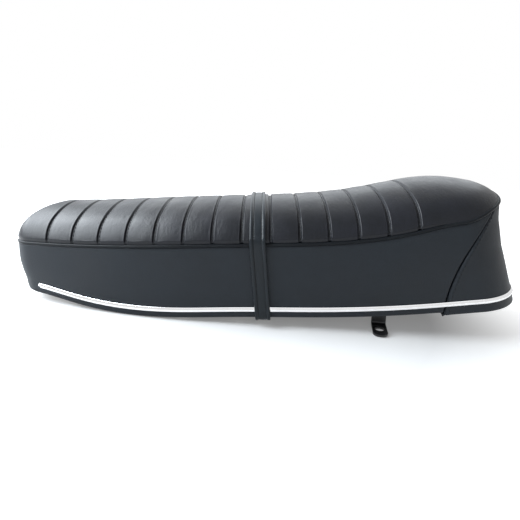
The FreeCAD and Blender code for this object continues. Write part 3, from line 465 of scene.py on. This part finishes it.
def panel_grid():
    """X stations, and points of the whole top panel in rows from the nose to the rear."""
    nose_tip = NOSE_X[2] + NOSE_TIP_GAP
    tail_tip = OUTLINES[int((TAIL_TIP_LEVEL - TABLE_LEVELS[0]) / 2)][0, 0] - TAIL_TIP_GAP
    ends = np.sin(np.linspace(0, math.pi / 2, NOSE_ROWS + 1))[1:]
    nose = NOSE_START + (nose_tip - NOSE_START) * ends[::-1]
    tail_ways = np.sin(np.linspace(0, math.pi / 2, TAIL_ROWS + 1))[1:]
    tail = TAIL_START + (tail_tip - TAIL_START) * tail_ways
    starts = GROOVE_FIRST + GROOVE_PITCH * np.arange(GROOVE_COUNT)
    offsets = np.array([-o for o in CHANNEL_OFFSETS[:0:-1]] + list(CHANNEL_OFFSETS + PLEAT_OFFSETS))
    pleats = (starts[:, None] + offsets[None, :]).ravel()
    pleats = pleats[(pleats > NOSE_START) & (pleats < TAIL_START)]
    x = np.concatenate([nose, pleats, tail])
    half = edge_half_width(x)
    across = np.sin(np.linspace(-math.pi / 2, math.pi / 2, 2 * ACROSS_STEPS + 1))
    along = np.clip((NOSE_START - x) / (NOSE_START - nose_tip), 0, 1) ** (NOSE_POWER * NOSE_FULLNESS)
    reach = 1 - (1 - along[:, None]) * (1 - np.abs(across)[None, :] ** NOSE_POWER)
    reach = np.clip(reach, 0, 1) ** (1 / NOSE_POWER)
    tail_reach = np.minimum(np.abs(across)[None, :] * half[:, None] / SEAM_WIDTH, 1.0)
    reach = np.where((x > TAIL_START)[:, None], tail_reach, reach)
    depth = sunk(x)[:, None]
    width = half[:, None] - depth * GROOVE_SIDE
    y = across[None, :] * width
    xs = np.repeat(x[:, None], len(across), axis=1)
    z = crown_height(xs, reach) - depth * GROOVE_DEPTH - tail_fall(xs, y)
    return np.stack([xs, y, z], axis=-1)


def tucked(points):
    """The panel with its edges carried down behind the piping, on all four sides of the grid."""
    down = np.linspace(0, 1, TUCK_ROWS + 1)[1:]

    def carried(line, inward):
        low = seam_height(line[:, 0], line[:, 1]) - TUCK_BELOW
        rows = []
        for share in down:
            row = line.copy()
            row[:, :2] += np.array(inward) * TUCK_INSET * share ** 2
            row[:, 2] += np.minimum(low - line[:, 2], 0.0) * share
            rows.append(row)
        return rows
    left = carried(points[:, 0], (0.0, 1.0))
    right = carried(points[:, -1], (0.0, -1.0))
    whole = np.stack(left[::-1] + list(points.transpose(1, 0, 2)) + right, axis=1)
    nose = carried(whole[0], (1.0, 0.0))
    tail = carried(whole[-1], (-1.0, 0.0))
    return np.stack(nose[::-1] + list(whole) + tail, axis=0)


SETTLE_PASSES = 6
CLOTH_STEPS = 20
CLOTH_SETTINGS = {
    "quality": 6, "mass": 0.3, "tension_stiffness": 12, "compression_stiffness": 12, "shear_stiffness": 5,
    "bending_stiffness": 0.2, "vertex_group_mass": "held", "use_pressure": True,
}


def swollen(name, points, held, pressure, cap):
    """The sheet after its cloth has been blown up between the held points."""
    rows, columns = points.shape[:2]
    flat = points.reshape(-1, 3)
    mesh = bpy.data.meshes.new(name)
    mesh.from_pydata(to_frame(flat).tolist(), [], grid_faces(rows, columns))
    sheet = bpy.data.objects.new(name, mesh)
    bpy.context.scene.collection.objects.link(sheet)
    pins = sheet.vertex_groups.new(name="held")
    for index in np.flatnonzero(held.ravel() > 0):
        pins.add([int(index)], float(held.ravel()[index]), "REPLACE")
    cloth = sheet.modifiers.new("cloth", "CLOTH")
    for setting, value in CLOTH_SETTINGS.items():
        setattr(cloth.settings, setting, value)
    cloth.settings.uniform_pressure_force = pressure
    cloth.settings.effector_weights.gravity = 0
    cloth.point_cache.frame_start = 1
    cloth.point_cache.frame_end = CLOTH_STEPS
    for step in range(1, CLOTH_STEPS + 1):
        bpy.context.scene.frame_set(step)
    shown = sheet.evaluated_get(bpy.context.evaluated_depsgraph_get())
    moved = np.array([v.co for v in shown.data.vertices]) / MM + [SEAT_MIDDLE, 0.0, 0.0]
    bpy.context.scene.frame_set(1)
    bpy.data.objects.remove(sheet)
    shift = moved - flat
    length = np.maximum(np.linalg.norm(shift, axis=1, keepdims=True), 1e-9)
    shift = (shift * np.minimum(1.0, cap / length)).reshape(points.shape)
    for step in range(SETTLE_PASSES):
        shift[:, 1:-1] = 0.25 * shift[:, :-2] + 0.5 * shift[:, 1:-1] + 0.25 * shift[:, 2:]
    return points + shift * (held < 1)[..., None]


panel = tucked(panel_grid())
panel_rows, panel_columns = panel.shape[:2]
# The sewn channels and the edge are held; the pleats between them are free to swell
station = panel[:, panel_columns // 2, 0]
from_channel = np.abs((station - GROOVE_FIRST + GROOVE_PITCH / 2) % GROOVE_PITCH - GROOVE_PITCH / 2)
pleated = (station > NOSE_START - 1) & (station < TAIL_START + 1)
held = np.zeros((panel_rows, panel_columns))
held[pleated & (from_channel < HELD_HALF)] = 1.0
held[:, :TUCK_ROWS + 1] = 1.0
held[:, -TUCK_ROWS - 1:] = 1.0
held[:TUCK_ROWS + 2] = 1.0
held[-TUCK_ROWS - 2:] = 1.0
panel = swollen("pleat_cloth", panel, held, CLOTH_PRESSURE, SWELL_CAP)

flat_panel = panel.reshape(-1, 3)
slack = smooth_noise(flat_panel * [1.0, 0.35, 0.35], 17.0, 3) + 0.6 * smooth_noise(flat_panel, 60.0, 4)
flat_panel[:, 2] += SLACK * slack * (1.0 - held.ravel())
top = mesh_object("pleated_top", flat_panel, grid_faces(panel_rows, panel_columns), TOP_VINYL,
                  closed=False)
thickened(top, COVER_SKIN)
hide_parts("top_panel")


# Stitches: length, gap and radius
CHANNEL_STITCH = (4.2, 1.6, 0.45)
STRAP_STITCH = (3.4, 1.5, 0.4)
SEAM_STITCH = (3.6, 1.6, 0.4)


def stitch_chain(path, normals, length, gap, radius):
    """Short rounded stitches laid along a path of points, as one piece."""
    walked = np.concatenate([[0.0], np.cumsum(np.linalg.norm(np.diff(path, axis=0), axis=1))])
    count = int(walked[-1] / (length + gap))
    ring = np.linspace(0, 2 * math.pi, 6, endpoint=False)
    swell = np.array([0.25, 0.9, 1.0, 0.9, 0.25])
    points, faces = [], []
    for number in range(count):
        start = (number + 0.5) * walked[-1] / count - length / 2
        at = start + np.linspace(0, length, len(swell))
        middle = np.column_stack([np.interp(at, walked, path[:, i]) for i in range(3)])
        up = np.column_stack([np.interp(at, walked, normals[:, i]) for i in range(3)])
        along = np.gradient(middle, axis=0)
        along = along / np.linalg.norm(along, axis=1, keepdims=True)
        side = np.cross(along, up)
        middle = middle + up * (radius * (swell[:, None] - 0.35))
        base = len(points) * len(ring) * len(swell)
        rings = middle[:, None] + radius * swell[:, None, None] * (
            np.cos(ring)[None, :, None] * side[:, None] + np.sin(ring)[None, :, None] * up[:, None])
        points.append(rings.reshape(-1, 3))
        faces += grid_faces(len(swell), len(ring), base, ring=True)
    return np.concatenate(points), faces


def joined(chains):
    """Several chains of stitches as one list of points and faces."""
    points, faces, start = [], [], 0
    for chain_points, chain_faces in chains:
        points.append(chain_points)
        faces += [tuple(i + start for i in face) for face in chain_faces]
        start += len(chain_points)
    return np.concatenate(points), faces


def surface_normals(grid):
    """Upward normals of a grid of points."""
    along = np.gradient(grid, axis=0)
    across = np.gradient(grid, axis=1)
    normals = np.cross(along, across)
    return normals / np.linalg.norm(normals, axis=-1, keepdims=True)


panel_normals = surface_normals(panel)
chains = []
for groove in range(GROOVE_COUNT):
    row = int(np.argmin(np.abs(station - GROOVE_FIRST - groove * GROOVE_PITCH)))
    inner = slice(TUCK_ROWS, panel_columns - TUCK_ROWS)
    chains.append(stitch_chain(panel[row, inner], panel_normals[row, inner], *CHANNEL_STITCH))
stitch_points, stitch_faces = joined(chains)
mesh_object("channel_stitches", stitch_points, stitch_faces, THREAD)


# Walls of the cover
WALL_ROWS = 34
SIDE_COLUMNS = 190
REAR_COLUMNS = 60
SIDE_GRADE = 1.6


def wall_shares(whole, z, way):
    """Share of the half outline for a way of 0 to 1 across the side band or the rear panel."""
    seam = np.interp(z, TABLE_LEVELS, SEAM_SHARES)
    if whole == "rear":
        return seam * way
    return seam + (1 - seam) * way ** SIDE_GRADE


BELLY = 0.9
NOSE_BELLY = 1.6
BELLY_FOOT = 0.24
NOSE_SHARE = 0.78
NOSE_BLEND = 0.1
TOP_TUCK = 1.2
TOP_TUCK_SHARE = 0.015
# Hem of a wall: inset and lift of its rolled edge
HEM_ROLL = ((0.0, COVER_THICK), (0.2, 1.2), (0.75, 0.6), (1.5, 0.15), (COVER_THICK, 0.0))


def near_nose(share):
    """From 0 along the side to 1 round the nose."""
    ramp = np.clip((share - NOSE_SHARE) / NOSE_BLEND, 0, 1)
    return ramp * ramp * (3 - 2 * ramp)


def wall_sheet(whole, drop):
    """Points of a wall: rows from its tucked top edge down and round the hem to the folded lip."""
    columns = REAR_COLUMNS if whole == "rear" else SIDE_COLUMNS
    way = np.linspace(0, 1, columns + 1)
    down = np.linspace(0, 1, WALL_ROWS + 1)
    profile = [(1 - step, 0.0, 0.0) for step in down[:-1]]
    roll = [(0.0, inset, lift) for inset, lift in HEM_ROLL]
    lip = [(0.0, 8.0, drop * 0.6), (0.0, LIP_WIDTH, drop), (0.0, LIP_WIDTH, drop + 2.0)]
    rows = []
    for share_up, inset, lift in profile + roll + lip:
        z = np.full_like(way, 60.0)
        for step in range(7):
            share = wall_shares(whole, z, way)
            xy = wall_xy(share, z)
            low = hem(xy[:, 0]) - drop
            high = seam_height(xy[:, 0], xy[:, 1]) - 0.3
            z = low + (high - low) * share_up + lift
        away = wall_outward(share, z)
        # The wall is held at its edges and stands a little proud of the foam between them.
        raised = max(0.0, (share_up - BELLY_FOOT) / (1 - BELLY_FOOT))
        belly = (BELLY + NOSE_BELLY * near_nose(share)) * math.sin(math.pi * raised)
        tuck = TOP_TUCK * max(0.0, (share_up - 1 + TOP_TUCK_SHARE) / TOP_TUCK_SHARE)
        xy = xy + away * (belly[:, None] - inset - tuck)
        rows.append(np.column_stack([xy, z]))
    half = np.array(rows)
    mirror = half.copy()
    mirror[:, :, 1] *= -1
    if whole == "rear":
        return np.concatenate([mirror[:, :0:-1], half], axis=1)
    return np.concatenate([half, mirror[:, -2::-1]], axis=1)


SEAM_DEPTH = 2.6
SEAM_ROLL = 2.6
# Soft swell beside a seam: height, distance and breadth
SEAM_SWELL = (0.3, 5.0, 2.6)


def rolled_seam(grid, ends, depth):
    """Turn the last columns of a wall in, where it is sewn to its neighbour."""
    rolled = grid.copy()
    height, distance, breadth = SEAM_SWELL
    normals = surface_normals(grid)
    outside = np.sign((normals[..., :2] * grid[..., :2]).sum(-1, keepdims=True))
    for end in ends:
        edge = grid[:, end]
        away = np.linalg.norm(grid - edge[:, None], axis=-1)
        swell = height * np.exp(-((away - distance) / breadth) ** 2)
        dip = depth * np.clip(1 - away / SEAM_ROLL, 0, 1) ** 2 - swell
        rolled -= normals * outside * dip[..., None]
    return rolled


RIPPLE = 0.6
RIPPLE_FOOT = 48
RIPPLE_BLEND = 20

side_grid = rolled_seam(wall_sheet("side", 0.0), (0, -1), SEAM_DEPTH)
flat_side = side_grid.reshape(-1, 3)
ripple = smooth_noise(flat_side, 130.0, 11) * 0.5 + smooth_noise(flat_side * [1, 1, 0.5], 45.0, 12) * 0.14
above_trim = np.clip((flat_side[:, 2] - RIPPLE_FOOT) / RIPPLE_BLEND, 0, 1)
flat_side[:, 1] += np.sign(flat_side[:, 1]) * ripple * above_trim * RIPPLE
side = mesh_object("side_cover", flat_side, grid_faces(*side_grid.shape[:2]), SIDE_VINYL,
                   closed=False)
thickened(side, COVER_SKIN)
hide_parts("side_band")

rear_grid = rolled_seam(wall_sheet("rear", REAR_HEM_DROP), (0, -1), SEAM_DEPTH)
flat_rear = rear_grid.reshape(-1, 3)
rear = mesh_object("rear_cover", flat_rear, grid_faces(*rear_grid.shape[:2]), SIDE_VINYL,
                   closed=False)
thickened(rear, COVER_SKIN)
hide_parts("rear_panel")


# Piping round the seam
PIPING_RINGS = 420
PIPING_SIDES = 12
PIPING_INSET = 0.7


def tube(path, radius, sides):
    """Points and faces of a round tube along a closed path."""
    after = np.roll(path, -1, axis=0)
    before = np.roll(path, 1, axis=0)
    along = after - before
    along = along / np.linalg.norm(along, axis=1, keepdims=True)
    side = np.cross(along, [0.0, 0.0, 1.0])
    side = side / np.linalg.norm(side, axis=1, keepdims=True)
    up = np.cross(side, along)
    turn = np.linspace(0, 2 * math.pi, sides, endpoint=False)
    rings = path[:, None] + radius * (np.cos(turn)[None, :, None] * side[:, None]
                                      + np.sin(turn)[None, :, None] * up[:, None])
    faces = grid_faces(len(path), sides, ring=True)
    last = (len(path) - 1) * sides
    faces += [(last + c, last + (c + 1) % sides, (c + 1) % sides, c) for c in range(sides)]
    return rings.reshape(-1, 3), faces


def seam_path(rings):
    """The line of the piping, all the way round."""
    share = np.linspace(0, 1, rings)
    z = np.full_like(share, 130.0)
    for step in range(8):
        xy = wall_xy(share, z)
        z = seam_height(xy[:, 0], xy[:, 1])
    xy = xy - wall_outward(share, z) * PIPING_INSET
    half = np.column_stack([xy, z])
    mirror = half[-2:0:-1] * [1, -1, 1]
    return np.concatenate([half, mirror])


piping_points, piping_faces = tube(seam_path(PIPING_RINGS), PIPING_RADIUS, PIPING_SIDES)
piping = mesh_object("seam_piping", piping_points, piping_faces, PIPING_VINYL)
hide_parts("piping")


# Bright trim with a crease along its middle
TRIM_COLUMNS = 330
TRIM_END_ROUND = 1.0
TRIM_END_NARROWED = 0.12
HALF_OUTLINE_LENGTH = 860.0
# Section of the strip: how far it stands proud of the wall, and rise from its middle
TRIM_SECTION = ((0.45, -3.3), (1.0, -3.3), (1.2, -3.15), (1.32, -3.0), (1.46, -2.7), (2.52, -0.5),
                (2.66, -0.2), (2.74, 0.0), (2.66, 0.2), (2.52, 0.5), (1.46, 2.7), (1.32, 3.0), (1.2, 3.15),
                (1.0, 3.3), (0.45, 3.3))


def trim_strip():
    """Points of the bright strip, in rows from its far end round the rear to its near end."""
    front = share_at(TRIM_FRONT, 60.0)
    share = np.linspace(0, front, TRIM_COLUMNS)
    # The front end is cut square with rounded corners.
    end = np.clip((front - share) * HALF_OUTLINE_LENGTH / TRIM_END_ROUND, 0, 1)
    full = np.sqrt(np.clip(1 - (1 - end) ** 2, 0, 1))
    narrowed = full * TRIM_END_NARROWED + 1 - TRIM_END_NARROWED
    columns = []
    for proud, rise in TRIM_SECTION:
        z = np.full_like(share, 40.0)
        for step in range(8):
            xy = wall_xy(share, z)
            z = hem(xy[:, 0]) + TRIM_RISE + rise * narrowed
        columns.append(np.column_stack([xy + wall_outward(share, z) * proud, z]))
    half = np.stack(columns, axis=1)
    mirror = half[:0:-1] * [1, -1, 1]
    return np.concatenate([mirror, half])


trim_grid = trim_strip()
trim_rows, trim_columns = trim_grid.shape[:2]
trim_faces = grid_faces(trim_rows, trim_columns)
last_row = (trim_rows - 1) * trim_columns
trim_faces += [tuple(range(trim_columns)), tuple(range(last_row, last_row + trim_columns))]
trim = mesh_object("trim_strip", trim_grid.reshape(-1, 3), trim_faces, CHROME)
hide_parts("chrome_trim")


# Passenger strap: a flat band with two rolled edges
# Section of the strap: share of its half width, of its thickness, and of the rolled edge
STRAP_ACROSS = (
    (-1.0, 0.0, 0.0), (-1.0, 0.55, 0.0), (-0.99, 0.9, 0.45), (-0.93, 1.0, 0.85), (-0.84, 1.0, 1.0),
    (-0.74, 1.0, 1.0), (-0.64, 1.0, 0.8), (-0.57, 1.0, 0.35), (-0.52, 0.9, -0.15), (-0.47, 0.95, -0.1),
    (-0.40, 1.0, 0.05), (-0.2, 1.0, 0.12), (0.0, 1.0, 0.15), (0.2, 1.0, 0.12), (0.40, 1.0, 0.05),
    (0.47, 0.95, -0.1), (0.52, 0.9, -0.15), (0.57, 1.0, 0.35), (0.64, 1.0, 0.8), (0.74, 1.0, 1.0),
    (0.84, 1.0, 1.0), (0.93, 1.0, 0.85), (0.99, 0.9, 0.45), (1.0, 0.55, 0.0), (1.0, 0.0, 0.0))
STRAP_REACH = (0.0, 0.1, 0.2, 0.3, 0.4, 0.5, 0.58, 0.66, 0.73, 0.79, 0.84, 0.88, 0.915, 0.945, 0.97, 0.99)
STRAP_STITCH_COLUMN = 8
STRAP_STITCH_ENDS = 6


def strap_half_line():
    """Path of the strap from the ridge over the side to the end of its tab, as Y and Z."""
    seam = float(ridge(STRAP_X) - crown(STRAP_X))
    foot = float(hem(STRAP_X + STRAP_LEAN))
    over_welt = SEAM_WIDTH + 2 * CLEARANCE + PIPING_RADIUS
    over_trim = HALF_WIDTH[1] + CLEARANCE + 2.8
    line = [(r * SEAM_WIDTH, float(crown_height(STRAP_X, r)) + 2 * CLEARANCE) for r in STRAP_REACH]
    shoulder = float(crown_height(STRAP_X, 1.0))
    line += [(over_welt - 1.1, shoulder + 1.2), (over_welt - 0.3, (shoulder + seam) / 2 + 0.8),
             (over_welt, seam), (over_welt, seam - 6)]
    trim_level = foot + TRIM_RISE
    line += [(over_welt + (over_trim - over_welt) * s, seam + (trim_level - seam) * s)
             for s in (0.2, 0.35, 0.5, 0.65, 0.8, 0.92, 1.0)]
    line += [(over_trim - 0.3, foot + 6), (over_trim - 0.9, foot + 2.4), (over_trim - 2.2, foot + 0.3),
             (over_trim - 4.2, foot - 0.55), (HALF_WIDTH[1] - 6.0, foot - 0.6),
             (HALF_WIDTH[1] - STRAP_TAB, foot - 0.6)]
    return np.array(line), seam, foot


def strap_rows():
    """Points of the strap in rows across it, from one tab to the other."""
    half, seam, foot = strap_half_line()
    line = np.concatenate([half[:0:-1] * [-1, 1], half])
    along = np.gradient(line, axis=0)
    along = along / np.linalg.norm(along, axis=1, keepdims=True)
    out = np.column_stack([-along[:, 1], along[:, 0]])
    lean = STRAP_LEAN * np.clip((seam - line[:, 1]) / (seam - foot), 0, 1)
    flat = np.where(line[:, 1] < foot + 0.1, 0.0, 1.0)
    rows = []
    for point, normal, shift, roll in zip(line, out, lean, flat):
        row = []
        for across, body, bead in STRAP_ACROSS:
            height = STRAP_THICK * body + STRAP_ROLL * bead * roll
            row.append((STRAP_X + shift + across * STRAP_HALF, point[0] + normal[0] * height,
                        point[1] + normal[1] * height))
        rows.append(row)
    return np.array(rows)


strap_grid = strap_rows()
strap_count = len(STRAP_ACROSS)
strap_faces = grid_faces(*strap_grid.shape[:2], ring=True)
last_row = (len(strap_grid) - 1) * strap_count
strap_faces += [tuple(range(strap_count)), tuple(range(last_row, last_row + strap_count))]
strap = mesh_object("passenger_strap", strap_grid.reshape(-1, 3), strap_faces, STRAP_VINYL)
rounding = strap.modifiers.new("soft", "SUBSURF")
rounding.levels = 1
rounding.render_levels = 1
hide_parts("grab_strap")

strap_normals = surface_normals(strap_grid)
chains = []
stitched = slice(STRAP_STITCH_ENDS, -STRAP_STITCH_ENDS)
for column in (STRAP_STITCH_COLUMN, strap_count - 1 - STRAP_STITCH_COLUMN):
    line = strap_grid[stitched, column]
    normal = strap_normals[stitched, column]
    facing = np.sign((normal * (line - [STRAP_X, 0.0, 100.0])).sum(-1, keepdims=True))
    chains.append(stitch_chain(line, normal * facing, *STRAP_STITCH))
stitch_points, stitch_faces = joined(chains)
mesh_object("strap_stitches", stitch_points, stitch_faces, THREAD)


# Seam stitches beside the sewn seam of the rear panel
chains = []
rear_normals = surface_normals(rear_grid)
for column in (2, rear_grid.shape[1] - 3):
    line = rear_grid[2:WALL_ROWS, column]
    normal = rear_normals[2:WALL_ROWS, column]
    facing = np.sign((normal[:, :2] * line[:, :2]).sum(-1, keepdims=True))
    chains.append(stitch_chain(line, normal * facing, *SEAM_STITCH))
stitch_points, stitch_faces = joined(chains)
mesh_object("seam_stitches", stitch_points, stitch_faces, THREAD)


# Floor, light and camera
FRONT_REST = Vector((-165.0 - SEAT_MIDDLE, 0.0, 25.0)) * MM
FEET_REST = Vector((161.0 - SEAT_MIDDLE, 0.0, -1.2)) * MM
FLOOR_SIZE = 8.0
FLOOR_TONE = 0.65
# Glow of the floor for the camera and in reflections: faint beside the seat, full white further out
GLOW_NEAR = 0.2
GLOW_FAR = 1.0
GLOW_MIRRORED = 0.5
MIRRORED_SHARE = 0.8
GLOW_REACH = 1.3
GLOW_FADE = (0.6, 0.8)


def seen_directly(tree):
    """Output: 1 for rays from the camera, a little less for mirrored or clear ones, 0 for light."""
    path = tree.nodes.new("ShaderNodeLightPath")
    either = tree.nodes.new("ShaderNodeMath")
    either.operation = "MAXIMUM"
    tree.links.new(path.outputs["Is Glossy Ray"], either.inputs[0])
    tree.links.new(path.outputs["Is Transmission Ray"], either.inputs[1])
    seen = tree.nodes.new("ShaderNodeMath")
    seen.operation = "MULTIPLY_ADD"
    seen.inputs[1].default_value = MIRRORED_SHARE
    tree.links.new(either.outputs[0], seen.inputs[0])
    tree.links.new(path.outputs["Is Camera Ray"], seen.inputs[2])
    return seen.outputs[0]


def floor():
    """A pale floor through the seat's resting points; it shows the seat's shadow on white."""
    bpy.ops.mesh.primitive_plane_add(size=FLOOR_SIZE)
    made = bpy.context.object
    made.name = "floor"
    slope = FEET_REST - FRONT_REST
    made.rotation_euler = (0.0, -math.atan2(slope.z, slope.x), 0.0)
    made.location = (FRONT_REST + FEET_REST) / 2
    look = bpy.data.materials.new("floor")
    look.use_nodes = True
    tree = look.node_tree
    tree.nodes.clear()
    out = tree.nodes.new("ShaderNodeOutputMaterial")
    add = tree.nodes.new("ShaderNodeAddShader")
    diffuse = tree.nodes.new("ShaderNodeBsdfDiffuse")
    diffuse.inputs["Color"].default_value = (FLOOR_TONE, FLOOR_TONE, FLOOR_TONE, 1)
    glow = tree.nodes.new("ShaderNodeEmission")
    path = tree.nodes.new("ShaderNodeLightPath")
    place = tree.nodes.new("ShaderNodeTexCoord")
    scaled = tree.nodes.new("ShaderNodeMapping")
    scaled.inputs["Scale"].default_value = (1 / GLOW_REACH, 1 / GLOW_REACH, 1 / GLOW_REACH)
    ball = tree.nodes.new("ShaderNodeTexGradient")
    ball.gradient_type = "SPHERICAL"
    ranged = tree.nodes.new("ShaderNodeMapRange")
    ranged.inputs["From Min"].default_value, ranged.inputs["From Max"].default_value = GLOW_FADE
    ranged.inputs["To Min"].default_value = GLOW_FAR
    near = tree.nodes.new("ShaderNodeMapRange")
    near.inputs["To Min"].default_value = GLOW_NEAR
    near.inputs["To Max"].default_value = GLOW_MIRRORED
    tree.links.new(path.outputs["Is Glossy Ray"], near.inputs["Value"])
    tree.links.new(near.outputs["Result"], ranged.inputs["To Max"])
    tree.links.new(place.outputs["Object"], scaled.inputs["Vector"])
    tree.links.new(scaled.outputs["Vector"], ball.inputs["Vector"])
    tree.links.new(ball.outputs["Fac"], ranged.inputs["Value"])
    strength = tree.nodes.new("ShaderNodeMath")
    strength.operation = "MULTIPLY"
    tree.links.new(seen_directly(tree), strength.inputs[0])
    tree.links.new(ranged.outputs["Result"], strength.inputs[1])
    tree.links.new(strength.outputs[0], glow.inputs["Strength"])
    tree.links.new(diffuse.outputs[0], add.inputs[0])
    tree.links.new(glow.outputs[0], add.inputs[1])
    tree.links.new(add.outputs[0], out.inputs["Surface"])
    made.data.materials.append(look)
    return made


COOL_WHITE = (0.88, 0.945, 1.0)


def area_lamp(name, place, target, size, radiance):
    """A soft lamp, set by the brightness of its face."""
    lamp = bpy.data.lights.new(name, "AREA")
    lamp.shape = "RECTANGLE"
    lamp.size, lamp.size_y = size
    lamp.energy = radiance * math.pi * size[0] * size[1]
    lamp.color = COOL_WHITE
    made = bpy.data.objects.new(name, lamp)
    made.location = place
    made.rotation_euler = (Vector(target) - Vector(place)).to_track_quat("-Z", "Y").to_euler()
    bpy.context.scene.collection.objects.link(made)
    return made


WORLD_LIGHT = 0.22


def studio():
    """A white world for the camera and in reflections, a dimmer one for light, and soft lamps."""
    world = bpy.data.worlds.new("studio")
    bpy.context.scene.world = world
    world.use_nodes = True
    tree = world.node_tree
    back = tree.nodes["Background"]
    ranged = tree.nodes.new("ShaderNodeMapRange")
    ranged.inputs["To Min"].default_value = WORLD_LIGHT
    ranged.inputs["To Max"].default_value = 1.0
    tree.links.new(seen_directly(tree), ranged.inputs["Value"])
    tree.links.new(ranged.outputs["Result"], back.inputs["Strength"])
    back.inputs["Color"].default_value = (1, 1, 1, 1)
    area_lamp("backlight", (0.1, 1.5, 0.9), (0.0, 0.0, 0.15), (2.6, 0.8), 1.8)
    area_lamp("nose_light", (-1.25, 0.0, 1.15), (-0.4, 0.0, 0.0), (1.9, 1.4), 12.0)
    area_lamp("front_fill", (0.0, -2.0, 1.3), (0.0, 0.0, 0.1), (3.6, 0.5), 0.8)


CAMERA_PLACE = (0.0, -566.0, 242.0)
CAMERA_PITCH = 16.5
CAMERA_YAW = 0.62
FOCAL_PIXELS = 370.0
FRAME_PIXELS = 520.0
SENSOR = 36.0


def camera():
    """The photograph's camera, beside the seat and looking slightly down."""
    data = bpy.data.cameras.new("camera")
    data.sensor_width = SENSOR
    data.lens = SENSOR * FOCAL_PIXELS / FRAME_PIXELS
    data.clip_start, data.clip_end = 0.01, 50.0
    made = bpy.data.objects.new("camera", data)
    made.location = to_frame([CAMERA_PLACE])[0]
    made.rotation_euler = (math.radians(90.0 - CAMERA_PITCH), 0.0, math.radians(CAMERA_YAW))
    bpy.context.scene.collection.objects.link(made)
    bpy.context.scene.camera = made


floor()
studio()
camera()
bpy.context.scene.view_settings.view_transform = "Standard"
